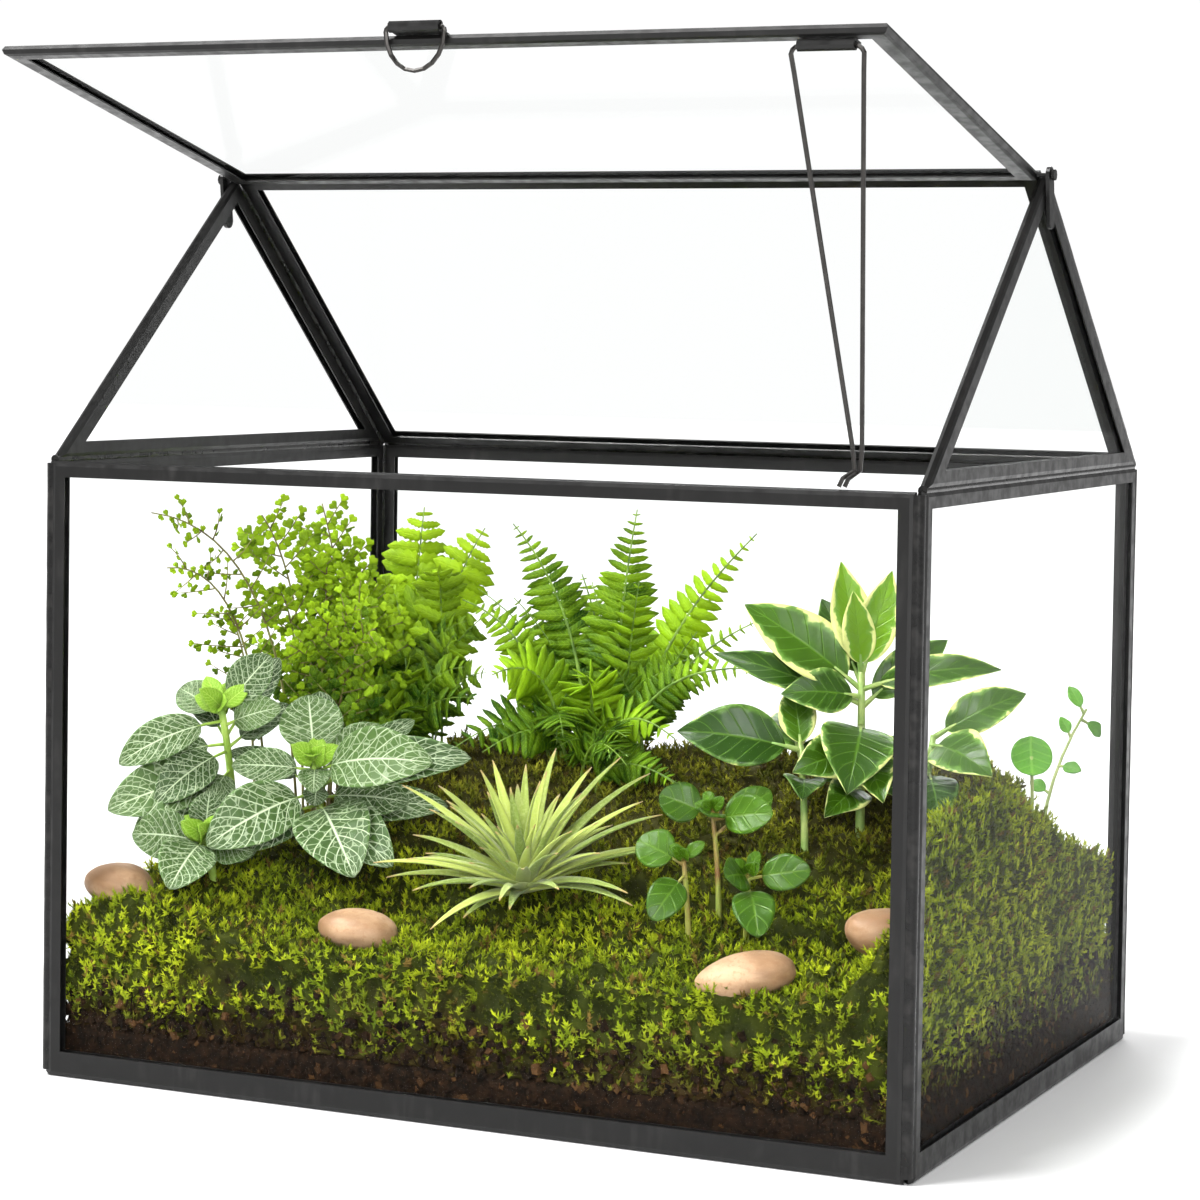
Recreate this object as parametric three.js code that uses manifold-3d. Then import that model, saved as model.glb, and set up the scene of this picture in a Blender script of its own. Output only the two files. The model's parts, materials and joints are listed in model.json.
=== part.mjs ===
// A glass plant terrarium in the form of a small house: clear panes in black metal
// strips, a front roof pane that opens as the lid, a wire that props it, a pull ring,
// and a planting of ferns, leafy plants, an air plant, moss and pebbles on soil.
// Millimetres, +Z up, front towards -Y. The origin is the middle of the underside.

import * as THREE from "three";
import { mergeVertices } from "three/addons/utils/BufferGeometryUtils.js";
import Module from "manifold-3d";

const wasm = await Module();
wasm.setup();

const { PI, sin, cos, tan, atan2, hypot, sqrt, min, max, abs } = Math;
const radians = (degrees) => (degrees * PI) / 180;
const V2 = (x, y) => new THREE.Vector2(x, y);
const V3 = (x, y, z) => new THREE.Vector3(x, y, z);

// ---------------------------------------------------------------- driving dimensions

const WIDTH = 250; // outside, along the front
const DEPTH = 190; // outside, front to back
const EAVE_HEIGHT = 167.5; // where the middle planes of wall and roof meet
const RIDGE_HEIGHT = 248.5;
const LID_OPEN = radians(13.5); // how far the propped lid points above level

const STRIP_THICKNESS = 2.8; // the folded metal strip along each edge of a pane
const STRIP_GAP = 0.3; // between neighbouring strips
const STRIP_WIDTH = 4.3;
const RAFTER_WIDTH = 5.2;
const BOTTOM_STRIP_WIDTH = 7;
const SLOT_THICKNESS = 2; // groove that takes the glass
const GLASS_THICKNESS = 1.5;
const GLASS_PLAY = 0.3;

const WIRE_RADIUS = 0.6;
const WIRE_PLAY = 0.3;
const RING_WIDTH = 17.5;
const RING_DROP = 11.5;
const RING_SLEEVE_LENGTH = 14;
const PROP_X = 107;
const PROP_WIDTH = 18.4;
const PROP_SLEEVE_LENGTH = 14.3;
const PIN_RADIUS = 0.55;
const STRAP_THICKNESS = 1;
const STRAP_WIDTH = 4.4;
const STRAP_LENGTH = 12;

const FLOOR_THICKNESS = 2;
const BED_GAP = 0.5; // soil and moss to the strips
const SEAT_GAP = 0.3; // between pieces that rest on each other
const MOSS_THICKNESS = 12;
const ROOT_DEPTH = 6; // how far a stem stands in the moss
const LEAF_THICKNESS = 0.6;

// ------------------------------------------------------------- sizes that follow

const BEAD = STRIP_THICKNESS / 2;
const HALF_WIDTH = WIDTH / 2 - BEAD; // to the middle plane of the end panes
const HALF_DEPTH = DEPTH / 2 - BEAD;
const ROOF_RISE = RIDGE_HEIGHT - EAVE_HEIGHT;
const SLOPE = atan2(ROOF_RISE, HALF_DEPTH);
const SLOPE_LENGTH = hypot(ROOF_RISE, HALF_DEPTH);

// Two strips whose panes meet at an angle stay one gap apart when the middles of their
// round edges lie this far from the line where the middle planes cross.
const setback = (angle) => (STRIP_THICKNESS + STRIP_GAP) / 2 / sin(angle / 2);
const SIDE = setback(PI / 2);
const EAVE = setback(PI / 2 + SLOPE);
const RIDGE = setback(PI - 2 * SLOPE);
const FLUSH = setback(PI);

const HINGE_Y = -RIDGE * cos(SLOPE);
const HINGE_Z = RIDGE_HEIGHT - RIDGE * sin(SLOPE);
const LID_REACH = SLOPE_LENGTH - RIDGE - EAVE; // hinge line to the middle of the free edge

const BED_X = HALF_WIDTH - BEAD - BED_GAP;
const BED_Y = HALF_DEPTH - BEAD - BED_GAP;
const SOIL_BOTTOM = FLOOR_THICKNESS + SEAT_GAP;

// ------------------------------------------------------------------- materials

const finish = (color, roughness, metalness = 0, extra = {}) =>
  new THREE.MeshStandardMaterial({ color, roughness, metalness, ...extra });
const blackMetal = () => finish(0x262524, 0.45, 0.75);
const darkWire = () => finish(0x3a3836, 0.4, 0.9);
const clearGlass = () => finish(0xf2f7f6, 0.03, 0, { transparent: true, opacity: 0.15 });

// --------------------------------------------------------------- mesh and solid

function solidOf(geometry) {
  const bare = new THREE.BufferGeometry();
  bare.setAttribute("position", geometry.getAttribute("position").clone());
  bare.setIndex(geometry.index);
  const merged = mergeVertices(bare, 1e-4);
  return new wasm.Manifold(
    new wasm.Mesh({
      numProp: 3,
      vertProperties: new Float32Array(merged.attributes.position.array),
      triVerts: new Uint32Array(merged.index.array),
    }),
  );
}

function geometryOf(body) {
  const { vertProperties, triVerts, numProp } = body.getMesh();
  const count = vertProperties.length / numProp;
  const positions = new Float32Array(count * 3);
  for (let i = 0; i < count; i += 1) {
    positions.set(vertProperties.subarray(i * numProp, i * numProp + 3), i * 3);
  }
  const geometry = new THREE.BufferGeometry();
  geometry.setAttribute("position", new THREE.BufferAttribute(positions, 3));
  geometry.setIndex(new THREE.BufferAttribute(new Uint32Array(triVerts), 1));
  geometry.computeVertexNormals();
  return geometry;
}

function bareGeometry(points, faces) {
  const geometry = new THREE.BufferGeometry().setFromPoints(points);
  geometry.setIndex(faces.flat());
  return geometry;
}

const joined = (bodies) => bodies.reduce((whole, body) => whole.add(body));

function piece(name, shape, material) {
  const geometry = shape.isBufferGeometry ? shape : geometryOf(shape);
  const mesh = new THREE.Mesh(geometry, material);
  mesh.name = name;
  return mesh;
}

function prism(outline, low, high) {
  const shape = new THREE.Shape(outline);
  const geometry = new THREE.ExtrudeGeometry(shape, { depth: high - low, bevelEnabled: false });
  return solidOf(geometry.translate(0, 0, low));
}

function rod(radius, from, to, sides = 10) {
  const geometry = new THREE.CylinderGeometry(radius, radius, to - from, sides);
  return solidOf(geometry.rotateZ(-PI / 2).translate((from + to) / 2, 0, 0));
}

// ------------------------------------------------------------- panes and strips

// The polygon with each edge moved inward by its own distance (outward if negative).
function inset(corners, distances) {
  const edges = corners.map((corner, i) => {
    const next = corners[(i + 1) % corners.length];
    const along = next.clone().sub(corner).normalize();
    const inward = V2(-along.y, along.x);
    return { along, point: corner.clone().addScaledVector(inward, distances[i]) };
  });
  return edges.map((edge, i) => {
    const before = edges.at(i - 1);
    const apart = edge.point.clone().sub(before.point);
    const reach = apart.cross(edge.along) / before.along.cross(edge.along);
    return before.point.clone().addScaledVector(before.along, reach);
  });
}

const evenly = (corners, distance) => corners.map(() => distance);

// A flat plate whose rim is half round, about the given line.
function roundedPlate(rim) {
  const turns = [-90, -50, 0, 50, 90].map(radians);
  const rings = turns.map((turn) =>
    inset(rim, evenly(rim, -BEAD * cos(turn))).map((p) => V3(p.x, p.y, BEAD * sin(turn))),
  );
  const count = rim.length;
  const faces = [];
  for (let ring = 0; ring + 1 < rings.length; ring += 1) {
    for (let i = 0; i < count; i += 1) {
      const a = ring * count + i;
      const b = ring * count + ((i + 1) % count);
      faces.push([a, b, b + count], [a, b + count, a + count]);
    }
  }
  const top = (rings.length - 1) * count;
  for (let i = 1; i + 1 < count; i += 1) {
    faces.push([0, i + 1, i], [top, top + i, top + i + 1]);
  }
  return solidOf(bareGeometry(rings.flat(), faces));
}

// A pane and the strip folded round it, in the plane z = 0 with the outside towards +z.
// `lines` are the corners where the middle planes meet, `setbacks` go with the edges.
function framedPane({ lines, setbacks, widths, extras = [] }) {
  const rim = inset(lines, setbacks);
  const window = inset(rim, widths.map((width) => width - BEAD));
  const slot = inset(rim, evenly(rim, 0.1));
  const glass = inset(slot, evenly(rim, GLASS_PLAY));
  const strip = roundedPlate(rim)
    .subtract(prism(window, -STRIP_THICKNESS, STRIP_THICKNESS))
    .subtract(prism(slot, -SLOT_THICKNESS / 2, SLOT_THICKNESS / 2));
  return {
    strip: joined([strip, ...extras]),
    glass: prism(glass, -GLASS_THICKNESS / 2, GLASS_THICKNESS / 2),
  };
}

function rectangle(left, right, low, high) {
  return [V2(left, low), V2(right, low), V2(right, high), V2(left, high)];
}

function addPane(group, name, pane) {
  group.add(piece(name + "_strip", pane.strip, blackMetal()));
  group.add(piece(name + "_glass", pane.glass, clearGlass()));
}

// A group whose xy plane stands upright, facing out, `distance` from the middle.
function facing(turn, distance) {
  const upright = new THREE.Group();
  upright.rotation.x = PI / 2;
  upright.position.y = -distance;
  const turned = new THREE.Group();
  turned.rotation.z = turn;
  turned.add(upright);
  return { turned, upright };
}

function addWalls(house) {
  const walls = [
    { name: "front_wall", turn: 0, half: HALF_WIDTH, away: HALF_DEPTH, top: EAVE },
    { name: "right_wall", turn: PI / 2, half: HALF_DEPTH, away: HALF_WIDTH, top: FLUSH },
    { name: "back_wall", turn: PI, half: HALF_WIDTH, away: HALF_DEPTH, top: EAVE },
    { name: "left_wall", turn: -PI / 2, half: HALF_DEPTH, away: HALF_WIDTH, top: FLUSH },
  ];
  for (const { name, turn, half, away, top } of walls) {
    const { turned, upright } = facing(turn, away);
    const pane = framedPane({
      lines: rectangle(-half, half, 0, EAVE_HEIGHT),
      setbacks: [BEAD, SIDE, top, SIDE],
      widths: [BOTTOM_STRIP_WIDTH, STRIP_WIDTH, STRIP_WIDTH, STRIP_WIDTH],
    });
    addPane(upright, name, pane);
    house.add(turned);
  }
}

function addGables(house) {
  for (const [name, turn] of [["right_gable", PI / 2], ["left_gable", -PI / 2]]) {
    const { turned, upright } = facing(turn, HALF_WIDTH);
    const pane = framedPane({
      lines: [V2(-HALF_DEPTH, EAVE_HEIGHT), V2(HALF_DEPTH, EAVE_HEIGHT), V2(0, RIDGE_HEIGHT)],
      setbacks: [FLUSH, SIDE, SIDE],
      widths: [STRIP_WIDTH, RAFTER_WIDTH, RAFTER_WIDTH],
    });
    addPane(upright, name, pane);
    house.add(turned);
  }
}

function addBackRoof(house) {
  const slope = new THREE.Group();
  slope.position.set(0, -HALF_DEPTH, EAVE_HEIGHT);
  slope.rotation.x = SLOPE;
  const turned = new THREE.Group();
  turned.rotation.z = PI;
  turned.add(slope);
  const pane = framedPane({
    lines: rectangle(-HALF_WIDTH, HALF_WIDTH, 0, SLOPE_LENGTH),
    setbacks: [EAVE, SIDE, RIDGE, SIDE],
    widths: [STRIP_WIDTH, RAFTER_WIDTH, STRIP_WIDTH, RAFTER_WIDTH],
  });
  addPane(slope, "back_roof", pane);
  house.add(turned);
}

// --------------------------------------------------------------- lid hardware

// A wire along points, round a closed loop or with flat ends.
function wire(points, radius, sides, closed = false) {
  const count = points.length;
  const at = (i) => (closed ? points[(i + count) % count] : points[min(max(i, 0), count - 1)]);
  let across = V3(0, 1, 0);
  const rings = points.map((point, i) => {
    const along = at(i + 1).clone().sub(at(i - 1)).normalize();
    across = across.clone().addScaledVector(along, -across.dot(along)).normalize();
    const other = along.clone().cross(across);
    return Array.from({ length: sides }, (_, k) => {
      const turn = (2 * PI * k) / sides;
      return point
        .clone()
        .addScaledVector(across, radius * cos(turn))
        .addScaledVector(other, radius * sin(turn));
    });
  });
  const faces = [];
  const spans = closed ? count : count - 1;
  for (let i = 0; i < spans; i += 1) {
    const here = i * sides;
    const there = ((i + 1) % count) * sides;
    for (let k = 0; k < sides; k += 1) {
      const n = (k + 1) % sides;
      faces.push([here + k, here + n, there + n], [here + k, there + n, there + k]);
    }
  }
  const last = (count - 1) * sides;
  for (let k = 1; k + 1 < sides && !closed; k += 1) {
    faces.push([0, k + 1, k], [last, last + k, last + k + 1]);
  }
  return bareGeometry(rings.flat(), faces);
}

// Points on an arc in the plane of `a` and `b`, from one turn to another.
function arc(centre, a, b, radius, from, to, steps) {
  return Array.from({ length: steps + 1 }, (_, i) => {
    const turn = radians(from + ((to - from) * i) / steps);
    return centre
      .clone()
      .addScaledVector(a, radius * cos(turn))
      .addScaledVector(b, radius * sin(turn));
  });
}

const X = V3(1, 0, 0);
const Z = V3(0, 0, 1);

// The D of the pull ring, hanging below its straight bar, which lies on the x axis.
function pullRing() {
  const half = RING_WIDTH / 2 - WIRE_RADIUS;
  const corner = 1.2;
  const bow = RING_DROP - WIRE_RADIUS;
  const lower = arc(V3(0, 0, -corner), X, V3(0, 0, (bow - corner) / half), half, 180, 360, 10);
  const points = [
    ...arc(V3(half - corner, 0, -corner), X, Z, corner, 30, 90, 2),
    ...arc(V3(corner - half, 0, -corner), X, Z, corner, 90, 150, 2),
    ...lower,
  ];
  return wire(points, WIRE_RADIUS, 6, true);
}

// A clip: a tab on the strip's face whose end curls round a wire along x. `side` is +1
// on the outer face and -1 on the inner one; y and z are the wire's place in the lid.
function clip(x, length, y, z, tabEnd, side) {
  const wall = 0.6;
  const hole = WIRE_RADIUS + WIRE_PLAY;
  const face = side * (BEAD + SEAT_GAP);
  const tab = new THREE.BoxGeometry(length, tabEnd - y, wall);
  tab.translate(x, (tabEnd + y) / 2, face + (side * wall) / 2);
  const curl = rod(hole + wall, x - length / 2, x + length / 2).translate([0, y, z]);
  const bore = rod(hole, x - length, x + length).translate([0, y, z]);
  return joined([solidOf(tab), curl]).subtract(bore);
}

// The pivots in the lid's own frame: y runs up the slope from the hinge, z outward.
const RING_PIVOT = { y: -LID_REACH - 3, z: 2.7 };
const PROP_PIVOT = { y: 1 - LID_REACH, z: -(BEAD + SEAT_GAP + WIRE_RADIUS + WIRE_PLAY + 0.6) };

// A point of the lid's frame seen in the house, as [y, z], with the lid propped open.
function opened({ y, z }) {
  const turn = -LID_OPEN;
  return [HINGE_Y + y * cos(turn) - z * sin(turn), HINGE_Z + y * sin(turn) + z * cos(turn)];
}

// The prop is one wire bent double: bar in its clip, two legs that draw together, and
// a doubled hook that stands on the front wall's top strip, one gap above it.
const RAIL_TOP = EAVE_HEIGHT - EAVE + BEAD;
const HOOK = {
  toe: V3(-3.4, -HALF_DEPTH, RAIL_TOP + SEAT_GAP + WIRE_RADIUS / 2),
  instep: V3(-2.6, -HALF_DEPTH + 0.4, RAIL_TOP + 2.6),
  heel: V3(-0.4, -HALF_DEPTH + 2.6, RAIL_TOP + 4.6),
};

function propWire() {
  const [y, z] = opened(PROP_PIVOT);
  const top = V3(0, y, z);
  const down = HOOK.heel.clone().setX(0).sub(top);
  const reach = down.length();
  down.normalize();
  const half = PROP_WIDTH / 2;
  const corner = 2.6;
  const apart = WIRE_RADIUS + 0.15; // each leg from the middle at the foot
  const leg = (share, side) => {
    const spread = apart + (half - apart) * (1 - share);
    return top.clone().addScaledVector(down, reach * share).add(V3(side * spread, 0, 0));
  };
  const side = (sign) => [
    HOOK.toe.clone().add(V3(sign * apart, 0, 0)),
    HOOK.instep.clone().add(V3(sign * apart, 0, 0)),
    HOOK.heel.clone().add(V3(sign * apart, 0, 0)),
    leg(0.95, sign),
    leg(0.5, sign),
    leg(0.06, sign),
    ...arc(top.clone().addScaledVector(down, corner), V3(sign, 0, 0), down.clone().negate(), corner, 15, 90, 3)
      .map((p) => p.add(V3(sign * (half - corner), 0, 0))),
  ];
  const right = side(1);
  const left = side(-1).reverse();
  return wire([...right, ...left], WIRE_RADIUS, 6).translate(PROP_X, 0, 0);
}

function hingePin(sign) {
  const inner = HALF_WIDTH - SIDE - SEAT_GAP / 2;
  const plate = WIDTH / 2 + SEAT_GAP + STRAP_THICKNESS;
  const head = plate + SEAT_GAP;
  const pin = joined([rod(PIN_RADIUS, inner, head + 0.4), rod(1.5, head, head + 0.8)]);
  return sign > 0 ? pin : pin.mirror([1, 0, 0]);
}

// A strap on the gable's outside, from the pin's eye down towards the rafters' meeting.
function hingeStrap(sign) {
  const half = STRAP_WIDTH / 2;
  const shape = new THREE.Shape();
  shape.absarc(0, 0, half, 0, PI);
  shape.absarc(-HINGE_Y * sign, -STRAP_LENGTH, half, PI, 2 * PI);
  shape.holes.push(new THREE.Path().absarc(0, 0, PIN_RADIUS + WIRE_PLAY, 0, 2 * PI, true));
  const geometry = new THREE.ExtrudeGeometry(shape, {
    depth: STRAP_THICKNESS,
    bevelEnabled: false,
    curveSegments: 4,
  });
  return solidOf(geometry);
}

function addHingeStraps(house) {
  for (const [name, turn, sign] of [["right", PI / 2, 1], ["left", -PI / 2, -1]]) {
    const { turned, upright } = facing(turn, WIDTH / 2 + SEAT_GAP);
    const strap = piece(name + "_hinge_strap", hingeStrap(sign), blackMetal());
    strap.position.set(HINGE_Y * sign, HINGE_Z, 0);
    upright.add(strap);
    house.add(turned);
  }
}

function makeLid() {
  const lid = new THREE.Group();
  lid.position.set(0, HINGE_Y, HINGE_Z);
  lid.rotation.x = -LID_OPEN;
  const pane = framedPane({
    lines: rectangle(-HALF_WIDTH, HALF_WIDTH, -LID_REACH - EAVE, RIDGE),
    setbacks: [EAVE, SIDE + SEAT_GAP, RIDGE, SIDE + SEAT_GAP],
    widths: [STRIP_WIDTH, RAFTER_WIDTH, STRIP_WIDTH, RAFTER_WIDTH],
    extras: [hingePin(1), hingePin(-1)],
  });
  addPane(lid, "lid", pane);

  const ringClip = clip(0, RING_SLEEVE_LENGTH, RING_PIVOT.y, RING_PIVOT.z, 3 - LID_REACH, 1);
  lid.add(piece("pull_ring_clip", ringClip, blackMetal()));
  const propClip = clip(PROP_X, PROP_SLEEVE_LENGTH, PROP_PIVOT.y, PROP_PIVOT.z, 4.5 - LID_REACH, -1);
  lid.add(piece("prop_clip", propClip, blackMetal()));

  const ring = piece("pull_ring", pullRing(), darkWire());
  ring.position.set(0, RING_PIVOT.y, RING_PIVOT.z);
  ring.rotation.x = LID_OPEN; // it hangs plumb
  lid.add(ring);
  return lid;
}

// ------------------------------------------------------------------- planting bed

const smooth = (t) => {
  const s = min(max(t, 0), 1);
  return s * s * (3 - 2 * s);
};

// The height of the moss: low along the front, banked up against the right pane, with a
// mound behind that falls away to the back and to the left.
function ground(x, y) {
  const bank = smooth((x - 100) / 22);
  const front = 41 + 8 * smooth(1 - abs(x + 100) / 40) + 22 * bank;
  const low = front + (55 - front) * smooth((y + 93) / 90);
  const rise = smooth((y + 93) / (130 - 95 * bank)) ** (2 - bank);
  const fall = smooth((93 - y) / (60 + 70 * bank));
  return low + (84 + 2 * bank - low) * rise * fall * smooth((122 + x) / 75);
}

// Tufts raised from the moss.
function tufts(x, y) {
  const waves = sin(x * 0.45 + 1.3 * sin(y * 0.21)) * sin(y * 0.5 + 1.1 * sin(x * 0.27));
  return 1.5 * waves + 0.8 * sin(x * 0.23 + y * 0.31);
}

function soilTop(x, y) {
  const inFromGlass = min(BED_X - abs(x), BED_Y - abs(y));
  const low = 13;
  return low + (ground(x, y) - MOSS_THICKNESS - low) * smooth(inFromGlass / 20);
}

const SOIL_GRID = [12, 10];
const MOSS_GRID = [24, 19];

// A block as wide as the bed, with a flat underside and a top that follows a height.
function bedBlock([columns, rows], bottom, height) {
  const points = [];
  const faces = [];
  for (let row = 0; row <= rows; row += 1) {
    for (let column = 0; column <= columns; column += 1) {
      const x = BED_X * ((2 * column) / columns - 1);
      const y = BED_Y * ((2 * row) / rows - 1);
      points.push(V3(x, y, height(x, y)));
    }
  }
  const at = (column, row) => row * (columns + 1) + column;
  for (let row = 0; row < rows; row += 1) {
    for (let column = 0; column < columns; column += 1) {
      const [a, b] = [at(column, row), at(column + 1, row)];
      const [c, d] = [at(column + 1, row + 1), at(column, row + 1)];
      faces.push([a, b, c], [a, c, d]);
    }
  }
  const rim = [];
  for (let column = 0; column < columns; column += 1) rim.push(at(column, 0));
  for (let row = 0; row < rows; row += 1) rim.push(at(columns, row));
  for (let column = columns; column > 0; column -= 1) rim.push(at(column, rows));
  for (let row = rows; row > 0; row -= 1) rim.push(at(0, row));
  const first = points.length;
  for (const i of rim) points.push(points[i].clone().setZ(bottom));
  const middle = points.push(V3(0, 0, bottom)) - 1;
  rim.forEach((top, i) => {
    const n = (i + 1) % rim.length;
    faces.push([first + i, first + n, rim[n]], [first + i, rim[n], top]);
    faces.push([middle, first + n, first + i]);
  });
  return solidOf(bareGeometry(points, faces));
}

const PEBBLES = [
  { name: "pebble_left", x: -111, y: -78, size: [9.5, 8, 6], turn: 20, tilt: 8 },
  { name: "pebble_middle", x: -37, y: -77, size: [11, 8, 5.6], turn: 10, tilt: 5 },
  { name: "pebble_front", x: 76, y: -82, size: [13, 8, 5.8], turn: 28, tilt: -10 },
  { name: "pebble_right", x: 108, y: -65, size: [12, 8.5, 7], turn: 40, tilt: 12 },
];

// A water-worn stone: a flattened ball, a little fuller at one end.
function pebbleSolid({ size, x, y, turn, tilt }, grow) {
  const geometry = new THREE.SphereGeometry(1, 12, 7);
  const position = geometry.getAttribute("position");
  for (let i = 0; i < position.count; i += 1) {
    const full = 1 + 0.1 * position.getX(i) - 0.05 * position.getY(i) * position.getX(i);
    position.setXYZ(i, position.getX(i), position.getY(i) * full, position.getZ(i) * full);
  }
  geometry.rotateX(PI / 2);
  geometry.scale(...size.map((s) => s + grow));
  geometry.rotateY(radians(tilt)).rotateZ(radians(turn));
  return solidOf(geometry.translate(x, y, ground(x, y) + size[2] * 0.45));
}

// Where each stem stands: its place on the moss and the radius of its hole.
const holes = [];
function foot(x, y, radius) {
  const depth = ROOT_DEPTH + SEAT_GAP;
  const clear = 8;
  const hole = new THREE.CylinderGeometry(radius, radius, depth + clear, 5);
  hole.rotateX(PI / 2).translate(x, y, ground(x, y) + (clear - depth) / 2);
  holes.push(solidOf(hole));
  return V3(x, y, ground(x, y) - ROOT_DEPTH);
}

function addBed(house) {
  const floor = new THREE.BoxGeometry(2 * BED_X, 2 * BED_Y, FLOOR_THICKNESS);
  house.add(piece("floor_plate", floor.translate(0, 0, FLOOR_THICKNESS / 2), blackMetal()));
  const soil = bedBlock(SOIL_GRID, SOIL_BOTTOM, soilTop);
  house.add(piece("soil", soil, finish(0x2b1d12, 1)));

  const cover = bedBlock(MOSS_GRID, SOIL_BOTTOM, (x, y) => ground(x, y) + tufts(x, y));
  let moss = cover.subtract(bedBlock(SOIL_GRID, 0, (x, y) => soilTop(x, y) + SEAT_GAP));
  for (const pebble of PEBBLES) {
    const stone = pebbleSolid(pebble, 0);
    house.add(piece(pebble.name, stone, finish(0xa9815f, 0.6)));
    moss = moss.subtract(pebbleSolid(pebble, SEAT_GAP));
  }
  for (const hole of holes) moss = moss.subtract(hole);
  const [largest] = moss.decompose().sort((a, b) => b.volume() - a.volume());
  house.add(piece("moss", largest, finish(0x5f7a16, 1)));
}

// ---------------------------------------------------------------- leaves and fronds

// Leaves turn their faces to the light, which falls through the front panes.
const LIGHT = V3(0.42, -0.9, 0.5).normalize();
const UP = V3(0, 0, 1);

// A thin sheet made solid: the given faces, the same faces behind, and a wall at each
// edge that only one face uses.
function thicken(points, normals, faces, thickness) {
  const count = points.length;
  const raise = (side) =>
    points.map((p, i) => p.clone().addScaledVector(normals[i], (side * thickness) / 2));
  const all = [...raise(1), ...raise(-1)];
  const solid = faces.flatMap(([a, b, c]) => [[a, b, c], [a + count, c + count, b + count]]);
  const used = new Set(faces.flatMap(([a, b, c]) => [`${a},${b}`, `${b},${c}`, `${c},${a}`]));
  for (const [a, b, c] of faces) {
    for (const [from, to] of [[a, b], [b, c], [c, a]]) {
      if (used.has(`${to},${from}`)) continue;
      solid.push([to, from, from + count], [to, from + count, to + count]);
    }
  }
  return solidOf(bareGeometry(all, solid));
}

// The run of a blade from `base` to `tip` over a crest, with its face to the light: at a
// share of the way it gives the place, the way on, the face's normal and the side.
function run(base, crest, tip, light) {
  const curve = new THREE.QuadraticBezierCurve3(base, crest, tip);
  return (share) => {
    const along = curve.getTangent(share);
    const normal = light.clone().addScaledVector(along, -light.dot(along)).normalize();
    return { point: curve.getPoint(share), along, normal, side: normal.clone().cross(along) };
  };
}

// The same for a leaf that arches towards the light by `bow` of its length.
function bowedRun(base, tip, bow, light) {
  const reach = tip.clone().sub(base);
  const out = light.clone().addScaledVector(reach, -light.dot(reach) / reach.lengthSq());
  const crest = base.clone().addScaledVector(reach, 0.55);
  return run(base, crest.addScaledVector(out.normalize(), bow * reach.length()), tip, light);
}

// An oval leaf: three columns of points, folded along the midrib, waved at the edges.
function leaf(base, tip, width, { bow = 0.22, stalk = 0.2, fold = 0.18, wave = 0.2, light = LIGHT }) {
  const frame = bowedRun(base, tip, bow, light);
  const stations = width < 11 ? [0, stalk, 0.45, 0.75, 1] : [0, stalk, 0.38, 0.6, 0.82, 1];
  const fullness = (t) => {
    if (t <= stalk) return max(0.1, 1.2 / width);
    const u = (t - stalk) / (1 - stalk);
    return max(0.06, sin(PI * u ** 0.8) ** 0.75);
  };
  const points = [];
  const normals = [];
  const faces = [];
  stations.forEach((t, i) => {
    const { point, side, normal } = frame(t);
    const half = (width / 2) * fullness(t);
    for (const edge of [-1, 0, 1]) {
      const lift = edge === 0 ? 0 : half * fold + wave * sin(i * 2.4 + edge) * fullness(t);
      points.push(point.clone().addScaledVector(side, edge * half).addScaledVector(normal, lift));
      normals.push(normal);
    }
  });
  for (let i = 0; i + 1 < stations.length; i += 1) {
    for (const j of [0, 1]) {
      const a = i * 3 + j;
      faces.push([a, a + 3, a + 4], [a, a + 4, a + 1]);
    }
  }
  return thicken(points, normals, faces, LEAF_THICKNESS);
}

function stemPoints(from, to, steps = 4) {
  const crest = V3(from.x, from.y, (from.z + to.z) / 2);
  return new THREE.QuadraticBezierCurve3(from, crest, to).getPoints(steps);
}

// A leafy stem. Each leaf is a row: the share of the stem's height where it springs, the
// place of its tip, its width, and how far it arches.
function leafyStem(name, from, to, radius, leaves, material, shape = {}) {
  const points = stemPoints(from, to);
  const curve = new THREE.CatmullRomCurve3(points);
  const bodies = [solidOf(wire(points, radius, 6))];
  for (const [share, tip, width, bow] of leaves) {
    bodies.push(leaf(curve.getPoint(share), V3(...tip), width, { bow, ...shape }));
  }
  return piece(name, joined(bodies), material);
}

// A frond: a thin blade cut to its rib. `leaflets` gives, for each one, its place along
// the rib, its side and reach, its half width at the tip, and its forward sweep; `bare`
// holds more places along the stalk.
function frondSheet(frame, leaflets, rib, droop, bare = []) {
  const points = [];
  const normals = [];
  const faces = [];
  const add = (share, across) => {
    const { point, side, normal } = frame(share);
    normals.push(normal);
    point.addScaledVector(side, across).addScaledVector(normal, -droop * abs(across));
    return points.push(point) - 1;
  };
  const key = (share) => Number(share.toFixed(4));
  const shares = [0, 1, ...bare, ...leaflets.flatMap(({ from, to }) => [from, to])];
  const marks = [...new Set(shares.map(key))].sort((a, b) => a - b);
  const half = (share) => (rib / 2) * (1 - 0.5 * share);
  const left = new Map(marks.map((share) => [share, add(share, half(share))]));
  const right = new Map(marks.map((share) => [share, add(share, -half(share))]));
  for (let i = 0; i + 1 < marks.length; i += 1) {
    const [here, next] = [marks[i], marks[i + 1]];
    faces.push([right.get(here), right.get(next), left.get(next)]);
    faces.push([right.get(here), left.get(next), left.get(here)]);
  }
  for (const { from, to, sideways, reach, tip, sweep } of leaflets) {
    const row = sideways > 0 ? left : right;
    const middle = (from + to) / 2 + sweep;
    const inner = add(middle + tip, sideways * reach * 0.96);
    const outer = add(middle - tip, sideways * reach);
    const quad = [row.get(key(from)), row.get(key(to)), inner, outer];
    if (sideways < 0) quad.reverse();
    faces.push([quad[0], quad[1], quad[2]], [quad[0], quad[2], quad[3]]);
  }
  return thicken(points, normals, faces, LEAF_THICKNESS);
}

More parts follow.
